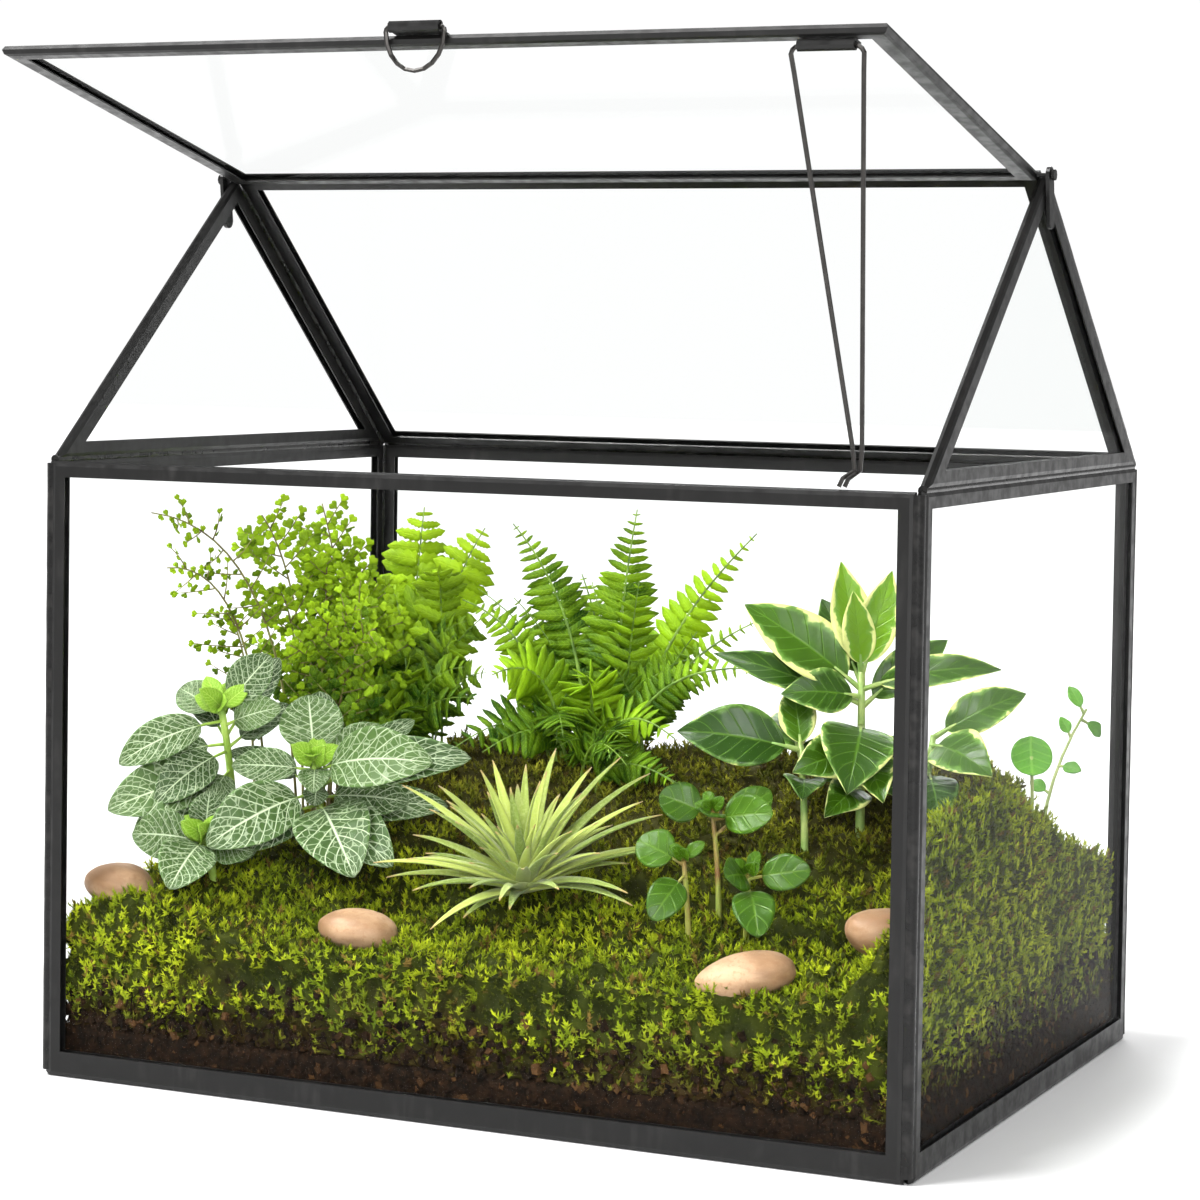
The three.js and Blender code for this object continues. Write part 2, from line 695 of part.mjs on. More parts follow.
// Paired leaflets, side by side along the rib, that shorten towards the tip.
function pairedLeaflets({ pairs, start, reach, length, sweep = 0.35, blunt = 0.5 }) {
  const pitch = (0.97 - start) / pairs;
  return Array.from({ length: pairs }, (_, i) => i).flatMap((i) => {
    const from = start + i * pitch;
    const taper = cos((PI / 2) * ((i + 0.1) / pairs)) ** 0.8;
    const rising = min(1, 0.6 + (0.4 * i) / (0.2 * pairs));
    const out = max(1.3, reach * taper * rising);
    return [-1, 1].map((sideways) => ({
      from,
      to: start + (i + 1) * pitch,
      sideways,
      reach: out,
      tip: (pitch / 2) * blunt,
      sweep: (sweep * out) / length,
    }));
  });
}

// Fan-shaped leaflets turn about on a wiry rib, each on a narrow neck.
function fanLeaflets({ count, start, size, length }) {
  const pitch = (0.98 - start) / count;
  return Array.from({ length: count }, (_, i) => {
    const shrink = 1 - (0.4 * i) / count;
    return {
      from: start + i * pitch,
      to: start + i * pitch + 0.9 / length,
      sideways: i % 2 === 0 ? 1 : -1,
      reach: size * shrink,
      tip: (size * 0.45 * shrink) / length,
      sweep: (size * 0.3) / length,
    };
  });
}

// A frond's rib climbs from its foot to a crest and on to its tip.
function frondRun(from, { tip, crest, lean = 0.08, light = LIGHT }) {
  const end = V3(...tip);
  const over = from.clone().lerp(end, lean).setZ(from.z + crest);
  return run(from, over, end, light);
}

// ------------------------------------------------------------------- the plants

const nerveGreen = () => finish(0x6f9a6a, 0.55);

function addNervePlant(house) {
  house.add(
    leafyStem("nerve_plant_back", foot(-98, -38, 1.9), V3(-97, -48, 97), 0.9, [
      [0.98, [-86, -40, 112], 11, 0.1],
      [0.96, [-115, -41, 101], 10, 0.1],
      [0.93, [-119, -66, 82], 11, 0.35],
      [0.9, [-80, -44, 98], 9, 0.2],
      [0.75, [-107, -66, 72], 12, 0.3],
      [0.6, [-118, -73, 70], 15, 0.25],
    ], nerveGreen()),
    leafyStem("nerve_plant_middle", foot(-72, -34, 1.9), V3(-68, -46, 83), 0.9, [
      [0.95, [-91, -52, 82], 9, 0.15],
      [0.97, [-76, -36, 101], 16, 0.05],
      [0.9, [-55, -31, 93], 10, 0.15],
      [0.93, [-28, -52, 87], 16, 0.3],
      [0.98, [-62, -57, 77], 8, 0.2],
      [0.75, [-88, -70, 62], 16, 0.3],
      [0.7, [-41, -41, 74], 12, 0.2],
      [0.62, [-43, -68, 57], 19, 0.3],
    ], nerveGreen()),
    leafyStem("nerve_plant_front", foot(-92, -59, 2.3), V3(-93, -63, 63), 0.9, [
      [0.93, [-110, -73, 64], 13, 0.25],
      [0.95, [-91, -84, 52], 14, 0.3],
      [0.98, [-92, -62, 76], 9, 0.1],
      [0.85, [-78, -62, 60], 9, 0.2],
    ], nerveGreen()),
  );
}

const AIR_PLANT = { x: 1, y: -53, core: 5, leaves: 22, slope: radians(18) };

// A rosette of narrow leaves square to the slope, the outer ones longer and more bent.
function addAirPlant(house) {
  const { x, y, core, leaves, slope } = AIR_PLANT;
  const heart = V3(x, y, ground(x, y) + core + 0.6);
  const axis = V3(0, -sin(slope), cos(slope));
  const ball = new THREE.SphereGeometry(core, 8, 5).translate(...heart.toArray());
  const bodies = [solidOf(ball)];
  for (let i = 0; i < leaves; i += 1) {
    const outer = i / (leaves - 1);
    const azimuth = radians(i * 137.5 + 24);
    const rise = radians(84 - 62 * outer ** 0.8);
    const room = 1 - 0.26 * max(0, -sin(azimuth)); // the front pane is near
    const length = room * (28 + 15 * sin(2.2 * outer) + 3 * sin(i * 1.7));
    const out = V3(cos(azimuth), sin(azimuth), 0).applyAxisAngle(X, slope);
    const way = out.clone().multiplyScalar(cos(rise)).addScaledVector(axis, sin(rise));
    const base = heart.clone().addScaledVector(way, core * 0.85);
    const crest = base.clone().addScaledVector(way, length * 0.55);
    const tip = crest.clone().addScaledVector(way, length * 0.45);
    tip.addScaledVector(out, length * 0.12).addScaledVector(axis, -length * 0.22 * (0.3 + outer));
    const frame = run(base, crest, tip, axis.clone().addScaledVector(out, -0.9));
    const points = [];
    const normals = [];
    const faces = [];
    [0, 0.35, 0.7, 1].forEach((t, k) => {
      const { point, side, normal } = frame(t);
      const half = 1.5 * (1 - t) ** 0.7 + 0.3;
      for (const edge of [-1, 1]) {
        points.push(point.clone().addScaledVector(side, edge * half));
        normals.push(normal);
      }
      if (k > 0) faces.push([2 * k - 2, 2 * k, 2 * k + 1], [2 * k - 2, 2 * k + 1, 2 * k - 1]);
    });
    bodies.push(thicken(points, normals, faces, 0.8));
  }
  house.add(piece("air_plant", joined(bodies), finish(0x9fb183, 0.7)));
}

function addRadiatorPlant(house) {
  const green = () => finish(0x3f7d2f, 0.4);
  const shape = { fold: 0.1, stalk: 0.22 };
  house.add(
    leafyStem("radiator_plant_upper", foot(53, -44, 1.3), V3(51, -45, 79), 0.7, [
      [0.96, [38, -50, 83], 10, 0.1],
      [0.93, [69, -47, 80], 10, 0.15],
      [0.98, [54, -54, 79], 7, 0.1],
      [0.8, [63, -34, 84], 9, 0.1],
    ], green(), shape),
    leafyStem("radiator_plant_left", foot(50, -57, 1.3), V3(49, -59, 68), 0.7, [
      [0.95, [36, -59, 72], 10, 0.15],
      [0.85, [46, -72, 54], 9, 0.3],
    ], green(), shape),
    leafyStem("radiator_plant_right", foot(64, -52, 1.3), V3(66, -56, 65), 0.7, [
      [0.95, [82, -53, 67], 9, 0.15],
      [0.85, [75, -71, 52], 10, 0.3],
      [0.98, [64, -67, 66], 9, 0.15],
    ], green(), shape),
  );
}

function addVariegatedPlant(house) {
  const green = () => finish(0x4c8a34, 0.35);
  const shape = { fold: 0.22, stalk: 0.15, wave: 0.3 };
  house.add(
    leafyStem("variegated_stem_main", foot(78, -6, 1.9), V3(78, -7, 114), 1.3, [
      [0.98, [70, -3, 143], 10, 0.05],
      [0.97, [84, -1, 141], 10, 0.05],
      [0.9, [47, -15, 131], 13, 0.15],
      [0.82, [37, -12, 117], 6, 0.15],
      [0.9, [112, 8, 115], 8, 0.35],
      [0.7, [83, -30, 84], 18, 0.35],
    ], green(), shape),
    leafyStem("variegated_stem_left", foot(66, -16, 1.7), V3(64, -15, 94), 1.1, [
      [0.96, [33, -27, 97], 15, 0.2],
      [0.94, [57, -4, 109], 9, 0.1],
    ], green(), shape),
    leafyStem("variegated_stem_right", foot(96, -8, 1.7), V3(98, -6, 98), 1.1, [
      [0.98, [119, 8, 109], 10, 0.3],
      [0.92, [119, -20, 90], 13, 0.25],
      [0.7, [107, -26, 76], 11, 0.25],
      [0.6, [88, -18, 84], 8, 0.2],
    ], green(), shape),
  );
}

function addPennyLeafAndRunner(house) {
  const from = foot(111, 42, 1.2);
  const top = V3(111, 40, 88);
  const disc = new THREE.CylinderGeometry(5.8, 5.8, LEAF_THICKNESS, 12);
  disc.applyQuaternion(new THREE.Quaternion().setFromUnitVectors(V3(0, 1, 0), LIGHT));
  const stalk = solidOf(wire(stemPoints(from, top), 0.5, 6));
  const leafDisc = solidOf(disc.translate(...top.toArray()));
  house.add(piece("penny_leaf", joined([stalk, leafDisc]), finish(0x4f9a3a, 0.45)));
  house.add(
    leafyStem("runner", foot(109, 58, 1.5), V3(116, 76, 98), 0.5, [
      [0.6, [119, 62, 82], 4, 0.1],
      [0.93, [119, 80, 90], 4, 0.3],
      [0.97, [110, 78, 104], 4, 0.1],
    ], finish(0x6a9a48, 0.5)),
  );
}

// Sword fern: narrow fronds with paired leaflets, each on its own foot round the crown.
const SWORD_FRONDS = [
  { name: "tall", at: [-14, 34], tip: [-10, 41, 153], crest: 40, reach: 13, pairs: 12, length: 72 },
  { name: "back_left", at: [-22, 35], tip: [-51, 41, 147], crest: 46, reach: 11, pairs: 11, length: 72 },
  { name: "back_right", at: [-7, 32], tip: [26, 47, 147], crest: 36, reach: 9, pairs: 12, length: 78 },
  { name: "centre", at: [-18, 43], tip: [-33, 52, 132], crest: 34, reach: 8, pairs: 9, length: 55 },
  { name: "right", at: [-3, 25], tip: [30, 38, 122], crest: 30, reach: 7, pairs: 10, length: 56 },
  { name: "right_low", at: [-4, 17], tip: [41, 18, 110], crest: 38, reach: 7, pairs: 10, length: 56 },
  { name: "left", at: [-29, 26], tip: [-58, 22, 125], crest: 40, reach: 7, pairs: 10, length: 56 },
  { name: "front_left", at: [-23, 20], tip: [-35, -4, 106], crest: 40, reach: 9, pairs: 8, length: 48 },
  { name: "front_right", at: [-13, 19], tip: [-4, -6, 108], crest: 30, reach: 8, pairs: 8, length: 48 },
  { name: "front_low", at: [-8, 10], tip: [21, 0, 91], crest: 34, reach: 6, pairs: 8, length: 40 },
];

// Broad fern: few pairs of wide leaflets, behind the nerve plant.
const BROAD_FRONDS = [
  { name: "tall", at: [-84, 38], tip: [-83, 46, 151], crest: 46, reach: 12, pairs: 8, length: 84 },
  { name: "right", at: [-76, 32], tip: [-63, 48, 145], crest: 50, reach: 9, pairs: 8, length: 78 },
  { name: "low", at: [-76, 18], tip: [-78, -4, 100], crest: 28, reach: 8, pairs: 6, length: 46 },
];

function addFerns(house) {
  for (const { name, at, ...spec } of SWORD_FRONDS) {
    const leaflets = pairedLeaflets({ ...spec, start: 0.26 });
    const frond = frondSheet(frondRun(foot(...at, 2.2), spec), leaflets, 1.5, 0.15, [0.13]);
    house.add(piece("sword_fern_" + name, frond, finish(0x4f9420, 0.5)));
  }
  for (const { name, at, ...spec } of BROAD_FRONDS) {
    const leaflets = pairedLeaflets({ ...spec, start: 0.36, blunt: 0.75, sweep: 0.55 });
    const frond = frondSheet(frondRun(foot(...at, 2.2), spec), leaflets, 1.5, 0.1, [0.12, 0.24]);
    house.add(piece("broad_fern_" + name, frond, finish(0x7db52a, 0.5)));
  }
}

// Maidenhair: wiry sprays whose side twigs carry small fan leaflets.
const MAIDENHAIR = [
  { name: "far_left", at: [-96, -6], tip: [-113, -60, 152], crest: 92, length: 112 },
  { name: "left", at: [-102, -13], tip: [-114, -50, 136], crest: 86, length: 92 },
  { name: "upper", at: [-98, 6], tip: [-110, -5, 149], crest: 74, length: 90 },
  { name: "right", at: [-88, 14], tip: [-100, 13, 152], crest: 56, length: 88 },
  { name: "low", at: [-88, -2], tip: [-70, -8, 118], crest: 56, length: 62 },
];
const TWIG_LIFT = 0.35; // how far the twigs stand out of the rib's plane
const TWIGS = [
  { share: 0.42, turn: 46, reach: 18 },
  { share: 0.54, turn: -46, reach: 22 },
  { share: 0.66, turn: 44, reach: 18 },
];

function addMaidenhair(house) {
  for (const { name, at, ...spec } of MAIDENHAIR) {
    const frame = frondRun(foot(...at, 1.5), spec);
    const fans = fanLeaflets({ count: 4, start: 0.74, size: 5.5, length: spec.length });
    const bodies = [frondSheet(frame, fans, 1.1, 0, [0.12, 0.28, ...TWIGS.map((twig) => twig.share)])];
    for (const { share, turn, reach } of TWIGS) {
      const { point, along, side, normal } = frame(share);
      const way = along.clone().multiplyScalar(cos(radians(turn)));
      way.addScaledVector(side, sin(radians(turn))).addScaledVector(normal, TWIG_LIFT);
      const tip = point.clone().addScaledVector(way, reach);
      const twig = bowedRun(point, tip, 0.12, normal);
      const small = fanLeaflets({ count: 3, start: 0.3, size: 4.8, length: reach });
      bodies.push(frondSheet(twig, small, 1, 0));
    }
    house.add(piece("maidenhair_" + name, joined(bodies), finish(0x86b83a, 0.5)));
  }
}

// ---------------------------------------------------------------------- assembly

const terrarium = new THREE.Group();
terrarium.name = "terrarium";
addWalls(terrarium);
addGables(terrarium);
addBackRoof(terrarium);
addHingeStraps(terrarium);
terrarium.add(makeLid());
terrarium.add(piece("prop_wire", propWire(), darkWire()));
addNervePlant(terrarium);
addAirPlant(terrarium);
addRadiatorPlant(terrarium);
addVariegatedPlant(terrarium);
addPennyLeafAndRunner(terrarium);
addFerns(terrarium);
addMaidenhair(terrarium);
addBed(terrarium);

export default terrarium;
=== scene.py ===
import json
import math

import bpy
import numpy as np
from mathutils import Matrix, Vector

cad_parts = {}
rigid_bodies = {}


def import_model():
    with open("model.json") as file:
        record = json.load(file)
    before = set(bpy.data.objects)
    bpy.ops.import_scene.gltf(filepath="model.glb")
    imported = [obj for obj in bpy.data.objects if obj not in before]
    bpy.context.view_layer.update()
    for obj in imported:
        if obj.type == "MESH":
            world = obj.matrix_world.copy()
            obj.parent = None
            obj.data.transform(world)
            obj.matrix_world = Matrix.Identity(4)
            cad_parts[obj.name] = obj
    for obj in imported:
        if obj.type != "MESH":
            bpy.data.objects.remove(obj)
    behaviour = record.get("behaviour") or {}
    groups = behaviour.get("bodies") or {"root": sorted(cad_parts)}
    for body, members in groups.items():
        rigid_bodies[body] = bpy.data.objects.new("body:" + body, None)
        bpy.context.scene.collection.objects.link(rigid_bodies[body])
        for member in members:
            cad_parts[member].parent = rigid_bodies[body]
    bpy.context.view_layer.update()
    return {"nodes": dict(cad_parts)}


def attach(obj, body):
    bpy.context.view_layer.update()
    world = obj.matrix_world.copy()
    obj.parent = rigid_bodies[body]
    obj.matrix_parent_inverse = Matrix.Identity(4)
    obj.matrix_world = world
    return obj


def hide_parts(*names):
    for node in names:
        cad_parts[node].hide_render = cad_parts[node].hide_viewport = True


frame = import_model()

# A planted glass house with its lid propped open. Lengths are millimetres, in the frame of
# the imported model, and turn to metres where a mesh is made.
MM = 0.001
PANE_X = 123.6  # middle plane of the end panes
EAVE = 167.5  # height of the seams where walls meet roof and gables
ROOF_RISE, ROOF_RUN = 81.0, 93.6  # of the roof, from eave to ridge
BED_X, BED_Y = 121.7, 91.7  # edges of the planting bed
SOIL_BOTTOM = 2.3
SOIL_RIM = 13.0  # height of the soil against the panes
LOWEST = 2.8  # nothing that grows reaches below this
MOSS_THICKNESS = 12.0
SPRIG_ROOM = 1.6  # the bed lies this far below the moss's height, for its sprigs
ROOT_DEPTH = 6.0
LEAF_THICKNESS = 0.35
LEFT_OF_LEAVES, LEFT_OF_TWIGS = -117.0, -118.0  # their tips reach no further left
LIGHT = np.array([0.42, -0.9, 0.5]) / np.linalg.norm([0.42, -0.9, 0.5])  # leaves face this way
UP = np.array([0.0, 0.0, 1.0])
FULL_TURN = 6.283
GOLDEN_TURN = 2.4  # from one leaf to the next round a stem


# ---------------------------------------------------------------- node trees

class Graph:
    """Adds nodes to a tree. An input is a plain value or another node's output."""

    def __init__(self, tree):
        self.tree = tree

    def add(self, kind, inputs=None, out=0, **settings):
        node = self.tree.nodes.new(kind)
        for key, value in settings.items():
            setattr(node, key, value)
        for key, value in (inputs or {}).items():
            if isinstance(value, bpy.types.NodeSocket):
                self.tree.links.new(value, node.inputs[key])
            else:
                node.inputs[key].default_value = value
        return node.outputs[out]

    def axes(self, vector):
        """A vector's x, y and z."""
        return [self.add("ShaderNodeSeparateXYZ", {0: vector}, out=i) for i in range(3)]

    def maths(self, operation, a, b=0.0, clamp=False):
        return self.add("ShaderNodeMath", {0: a, 1: b}, operation=operation, use_clamp=clamp)

    def times(self, a, b):
        return self.maths("MULTIPLY", a, b)

    def plus(self, a, b, clamp=False):
        return self.maths("ADD", a, b, clamp)

    def minus(self, a, b, clamp=False):
        return self.maths("SUBTRACT", a, b, clamp)

    def vector(self, operation, a, b):
        return self.add("ShaderNodeVectorMath", {0: a, 1: b}, operation=operation)

    def smooth(self, value, low, high, start=0.0, end=1.0):
        """The value's way from low to high, eased, as a share from start to end."""
        ports = {"Value": value, "From Min": low, "From Max": high, "To Min": start, "To Max": end}
        return self.add("ShaderNodeMapRange", ports, interpolation_type="SMOOTHSTEP")


class Growth(Graph):
    """A geometry tree: adds random draws, and reads and keeps the marks on its places."""

    def random(self, low, high, seed, shift):
        """A number for each place, between low and high."""
        ports = {2: low, 3: high, "Seed": self.plus(seed, shift)}
        return self.add("FunctionNodeRandomValue", ports, out=1, data_type="FLOAT")

    def stray(self, x, y, z, seed):
        """A short way for each place, up to x, y and z to either side."""
        ports = {0: (-x, -y, -z), 1: (x, y, z), "Seed": seed}
        return self.add("FunctionNodeRandomValue", ports, data_type="FLOAT_VECTOR")

    def mark(self, name, kind="FLOAT"):
        return self.add("GeometryNodeInputNamedAttribute", {"Name": name}, data_type=kind)

    def keep_tone(self, placed, tone):
        """Each instance's tone, kept for its finish."""
        ports = {"Geometry": placed, "Name": "tone", "Value": tone}
        kept = {"data_type": "FLOAT", "domain": "INSTANCE"}
        return self.add("GeometryNodeStoreNamedAttribute", ports, **kept)


class Finish(Graph):
    """A material whose colour, roughness and relief come from nodes."""

    def __init__(self, name):
        self.material = bpy.data.materials.new(name)
        self.material.use_nodes = True
        super().__init__(self.material.node_tree)
        self.shader = self.tree.nodes["Principled BSDF"]

    def attribute(self, name):
        return self.add("ShaderNodeAttribute", out=2, attribute_name=name)

    def place(self, scale=(1.0, 1.0, 1.0)):
        at = self.add("ShaderNodeTexCoord", out="Object")
        return self.add("ShaderNodeMapping", {"Vector": at, "Scale": scale})

    def spread(self, *runs):
        """A place in a pattern: each mark times the number of its repeats."""
        ports = {i: self.times(mark, repeats) for i, (mark, repeats) in enumerate(runs)}
        return self.add("ShaderNodeCombineXYZ", ports)

    def noise(self, scale, detail, at=None, rough=0.5):
        ports = {"Scale": scale, "Detail": detail, "Roughness": rough}
        ports["Vector"] = self.place() if at is None else at
        return self.add("ShaderNodeTexNoise", ports)

    def blend(self, share, a, b):
        node = self.tree.nodes.new("ShaderNodeMix")
        node.data_type = "RGBA"
        for key, value in ((0, share), (6, a), (7, b)):
            if isinstance(value, bpy.types.NodeSocket):
                self.tree.links.new(value, node.inputs[key])
            elif key:
                node.inputs[key].default_value = (*value, 1)
            else:
                node.inputs[key].default_value = value
        return node.outputs[2]

    def relief(self, height, depth, strength=1.0):
        ports = {"Height": height, "Distance": depth * MM, "Strength": strength}
        return self.add("ShaderNodeBump", ports)

    def put(self, **values):
        """Sets the shader's sockets; a name's underscores stand for spaces."""
        for key, value in values.items():
            socket = self.shader.inputs[key.replace("_", " ")]
            if isinstance(value, bpy.types.NodeSocket):
                self.tree.links.new(value, socket)
            else:
                socket.default_value = (*value, 1) if isinstance(value, tuple) else value
        return self


# ---------------------------------------------------------------- metal and glass

def charcoal_metal():
    f = Finish("charcoal_patina")
    cloud = f.noise(90, 5)
    streak = f.noise(1, 4, f.place((420, 420, 60)))
    # Paler grey streaks and patches, laid at random over the near-black metal.
    pale_streaks = f.times(f.smooth(cloud, 0.42, 0.75), f.smooth(streak, 0.4, 0.7))
    colour = f.blend(pale_streaks, (0.0055, 0.0053, 0.005), (0.018, 0.0172, 0.0165))
    fine = f.noise(2600, 2)
    return f.put(
        Base_Color=colour,
        Metallic=0.2,
        Roughness=f.smooth(f.noise(300, 4), 0.3, 0.7, 0.3, 0.48),
        Specular_IOR_Level=0.4,
        Normal=f.relief(f.plus(fine, streak), 0.02),
    ).material


def solder_metal():
    f = Finish("blackened_solder")
    lumps = f.noise(260, 4)
    colour = f.blend(f.smooth(lumps, 0.45, 0.7), (0.006, 0.0058, 0.0056), (0.022, 0.021, 0.02))
    return f.put(
        Base_Color=colour,
        Metallic=0.5,
        Roughness=f.smooth(lumps, 0.3, 0.7, 0.24, 0.34),
        Normal=f.relief(lumps, 0.1),
    ).material


def dark_wire():
    f = Finish("dark_steel_wire")
    drawn = f.noise(1, 3, f.place((900, 900, 150)))
    return f.put(
        Base_Color=f.blend(drawn, (0.012, 0.011, 0.0105), (0.07, 0.066, 0.062)),
        Metallic=0.85,
        Roughness=f.smooth(drawn, 0.3, 0.7, 0.26, 0.42),
        Normal=f.relief(drawn, 0.02),
    ).material


def clear_glass():
    """Thin panes: bright gloss, and lamps shine through them."""
    f = Finish("clear_pane")
    drift = f.noise(14, 2)
    f.put(
        Base_Color=(0.972, 0.982, 0.978),
        Roughness=0.0,
        IOR=1.03,
        Transmission_Weight=1.0,
        Normal=f.relief(drift, 0.05, 0.4),
    )
    output = f.tree.nodes["Material Output"]
    lamp = f.add("ShaderNodeLightPath", out="Is Shadow Ray")
    through = f.add("ShaderNodeBsdfTransparent", {"Color": (0.985, 0.99, 0.987, 1)})
    mix = f.add("ShaderNodeMixShader", {0: lamp, 1: f.shader.outputs[0], 2: through})
    f.tree.links.new(mix, output.inputs["Surface"])
    return f.material


# ---------------------------------------------------------------- ground and stones

def moss_finish():
    """Yellow-green tips over darker stems. Painted shade darkens the sprigs towards their bases and in
    the hollows between cushions, and a painted shadow of the plants darkens the moss behind them. Brown
    towards the soil.
    """
    f = Finish("sheet_moss")
    at = f.add("ShaderNodeTexCoord", out="Object")
    right, back, height = f.axes(at)
    patches = f.noise(38, 4)
    tip = f.attribute("tip")
    tone = f.attribute("tone")
    fresh = f.blend(tone, (0.1, 0.15, 0.003), (0.42, 0.48, 0.013))
    olive = f.blend(tone, (0.045, 0.08, 0.002), (0.22, 0.28, 0.007))
    leafy = f.blend(f.smooth(patches, 0.34, 0.68), olive, fresh)
    leafy = f.blend(f.smooth(tone, 0.06, 0.12, 0.85, 0.0), leafy, (0.14, 0.075, 0.018))
    # Painted shade: sprigs go near black towards their bases, by the tip mark, and in the hollows
    # between cushions, by the crest mark; the dark bases are partly the stems' own colour.
    crest = f.smooth(f.attribute("crest"), 0.1, 0.8, 0.12, 1.0)
    lit = f.times(f.smooth(tip, 0.0, 0.75), crest)
    depth = f.blend(lit, (0.012, 0.015, 0.002), leafy)
    # Painted shadow of the plants: towards the back, less on the open bank at the right, the moss turns
    # dark brown.
    shaded = f.smooth(back, -0.05, 0.0)
    open_side = f.smooth(right, 0.09, 0.115, 0.65, 0.15)
    plant_shadow = f.blend(f.times(tip, tone), (0.014, 0.01, 0.002), (0.2, 0.16, 0.02))
    depth = f.blend(f.times(shaded, open_side), depth, plant_shadow)
    wander = f.minus(f.noise(60, 5), 0.5)
    ragged = f.plus(height, f.times(wander, 0.05))
    brown = f.blend(tone, (0.005, 0.0027, 0.001), (0.05, 0.026, 0.007))
    colour = f.blend(f.smooth(ragged, 0.003, 0.034), brown, depth)
    return f.put(
        Base_Color=colour,
        Roughness=0.8,
        Specular_IOR_Level=0.1,
        Normal=f.relief(f.noise(900, 3), 0.3),
    ).material


def soil_finish():
    f = Finish("dark_soil")
    grains = f.noise(420, 6, rough=0.7)
    tone = f.attribute("tone")
    crumbs = f.blend(f.smooth(grains, 0.35, 0.7), (0.0025, 0.0016, 0.0008), (0.018, 0.0085, 0.0035))
    colour = f.blend(f.smooth(tone, 0.84, 1.0), crumbs, (0.07, 0.033, 0.012))
    return f.put(
        Base_Color=colour,
        Roughness=0.95,
        Specular_IOR_Level=0.1,
        Normal=f.relief(grains, 1.0),
    ).material


def pebble_finish():
    f = Finish("river_pebble")
    bands = f.noise(1, 4, f.place((60, 90, 170)), 0.5)
    flecks = f.noise(900, 2)
    warm = f.blend(f.smooth(bands, 0.3, 0.7), (0.22, 0.12, 0.058), (0.44, 0.28, 0.165))
    colour = f.blend(f.smooth(flecks, 0.5, 0.68, 0.0, 0.45), warm, (0.24, 0.12, 0.055))
    return f.put(
        Base_Color=colour,
        Roughness=f.smooth(bands, 0.3, 0.7, 0.5, 0.62),
        Specular_IOR_Level=0.35,
        Normal=f.relief(flecks, 0.08),
    ).material


# ---------------------------------------------------------------- leaves

def leaf_green(name, dark, light, roughness, veins, vein_colour, vein_share, gloss):
    """A leaf's green, by its tone and with soft patches; pairs of veins run off the midrib."""
    f = Finish(name)
    tone = f.attribute("tone")
    patches = f.smooth(f.noise(170, 3), 0.3, 0.7)
    share = f.plus(f.times(tone, 0.75), f.times(patches, 0.25))
    colour = f.blend(share, dark, light)
    mask = vein_mask(f, veins)
    colour = f.blend(f.times(mask, vein_share), colour, vein_colour)
    height = f.minus(f.times(f.noise(1500, 2), 0.15), mask)
    return f.put(
        Base_Color=colour,
        Roughness=roughness,
        Specular_IOR_Level=gloss,
        Normal=f.relief(height, 0.12, 0.7),
    ).material


def vein_mask(f, pairs, reach=1.15, width=0.11, midrib_width=None):
    """1 on the midrib and on the side veins that leave it, 0 between them."""
    across = f.maths("ABSOLUTE", f.attribute("across"))
    along = f.attribute("along")
    midrib = f.smooth(across, 0.01, midrib_width or width, 1.0, 0.0)
    above_zero = 50.0
    phase = f.minus(f.times(along, pairs), f.times(across, reach))
    part = f.maths("FRACT", f.plus(phase, above_zero))
    off_vein = f.maths("ABSOLUTE", f.minus(part, 0.5))
    side = f.smooth(off_vein, 0.0, width * 1.1, 1.0, 0.0)
    return f.maths("MAXIMUM", midrib, side)


def nerve_finish():
    """Deep green under a white net of veins."""
    f = Finish("nerve_leaf")
    tone = f.attribute("tone")
    across = f.attribute("across")
    along = f.attribute("along")
    cells = {"Vector": f.spread((across, 3.6), (along, 13.0), (tone, 9.0)), "Scale": 1.0}
    net = f.add("ShaderNodeTexVoronoi", cells, feature="DISTANCE_TO_EDGE")
    faint = f.times(f.smooth(net, 0.02, 0.08, 1.0, 0.0), 0.42)
    mask = f.maths("MAXIMUM", vein_mask(f, 8.0, 2.3, 0.085, 0.055), faint)
    green = f.blend(tone, (0.02, 0.05, 0.008), (0.075, 0.14, 0.028))
    rim = f.smooth(f.maths("ABSOLUTE", across), 0.86, 1.0)
    green = f.blend(f.times(rim, 0.5), green, (0.12, 0.22, 0.06))
    young = f.smooth(tone, 0.93, 0.97)
    white = f.blend(young, (0.48, 0.56, 0.37), (0.45, 0.62, 0.12))
    green = f.blend(young, green, (0.2, 0.38, 0.02))
    height = f.minus(1.0, mask)
    return f.put(
        Base_Color=f.blend(mask, green, white),
        Roughness=0.5,
        Specular_IOR_Level=0.25,
        Normal=f.relief(height, 0.25, 0.8),
    ).material


def variegated_finish():
    """Green, with a cream margin that runs in ragged tongues towards the midrib."""
    f = Finish("cream_edged_leaf")
    tone = f.attribute("tone")
    across = f.maths("ABSOLUTE", f.attribute("across"))
    along = f.attribute("along")
    tongues = f.noise(1.6, 3, f.spread((along, 5.0), (f.attribute("across"), 1.3), (tone, 11.0)))
    edge = f.plus(across, f.times(f.minus(tongues, 0.5), 0.9))
    edge = f.plus(edge, f.times(f.minus(tone, 0.5), 0.35))
    cream = f.smooth(edge, 0.84, 0.96)
    veins = vein_mask(f, 7.0, 1.6, 0.07)
    deep = f.blend(tone, (0.01, 0.036, 0.001), (0.045, 0.115, 0.003))
    deep = f.blend(f.smooth(tone, 0.88, 0.96), deep, (0.11, 0.23, 0.008))
    green = f.blend(f.times(veins, 0.3), deep, (0.13, 0.26, 0.02))
    grey = f.blend(f.smooth(edge, 0.62, 0.86, 0.0, 0.6), green, (0.14, 0.27, 0.05))
    return f.put(
        Base_Color=f.blend(cream, grey, (0.6, 0.63, 0.22)),
        Roughness=0.3,
        Specular_IOR_Level=0.22,
        Normal=f.relief(f.minus(0.5, veins), 0.15, 0.6),
    ).material


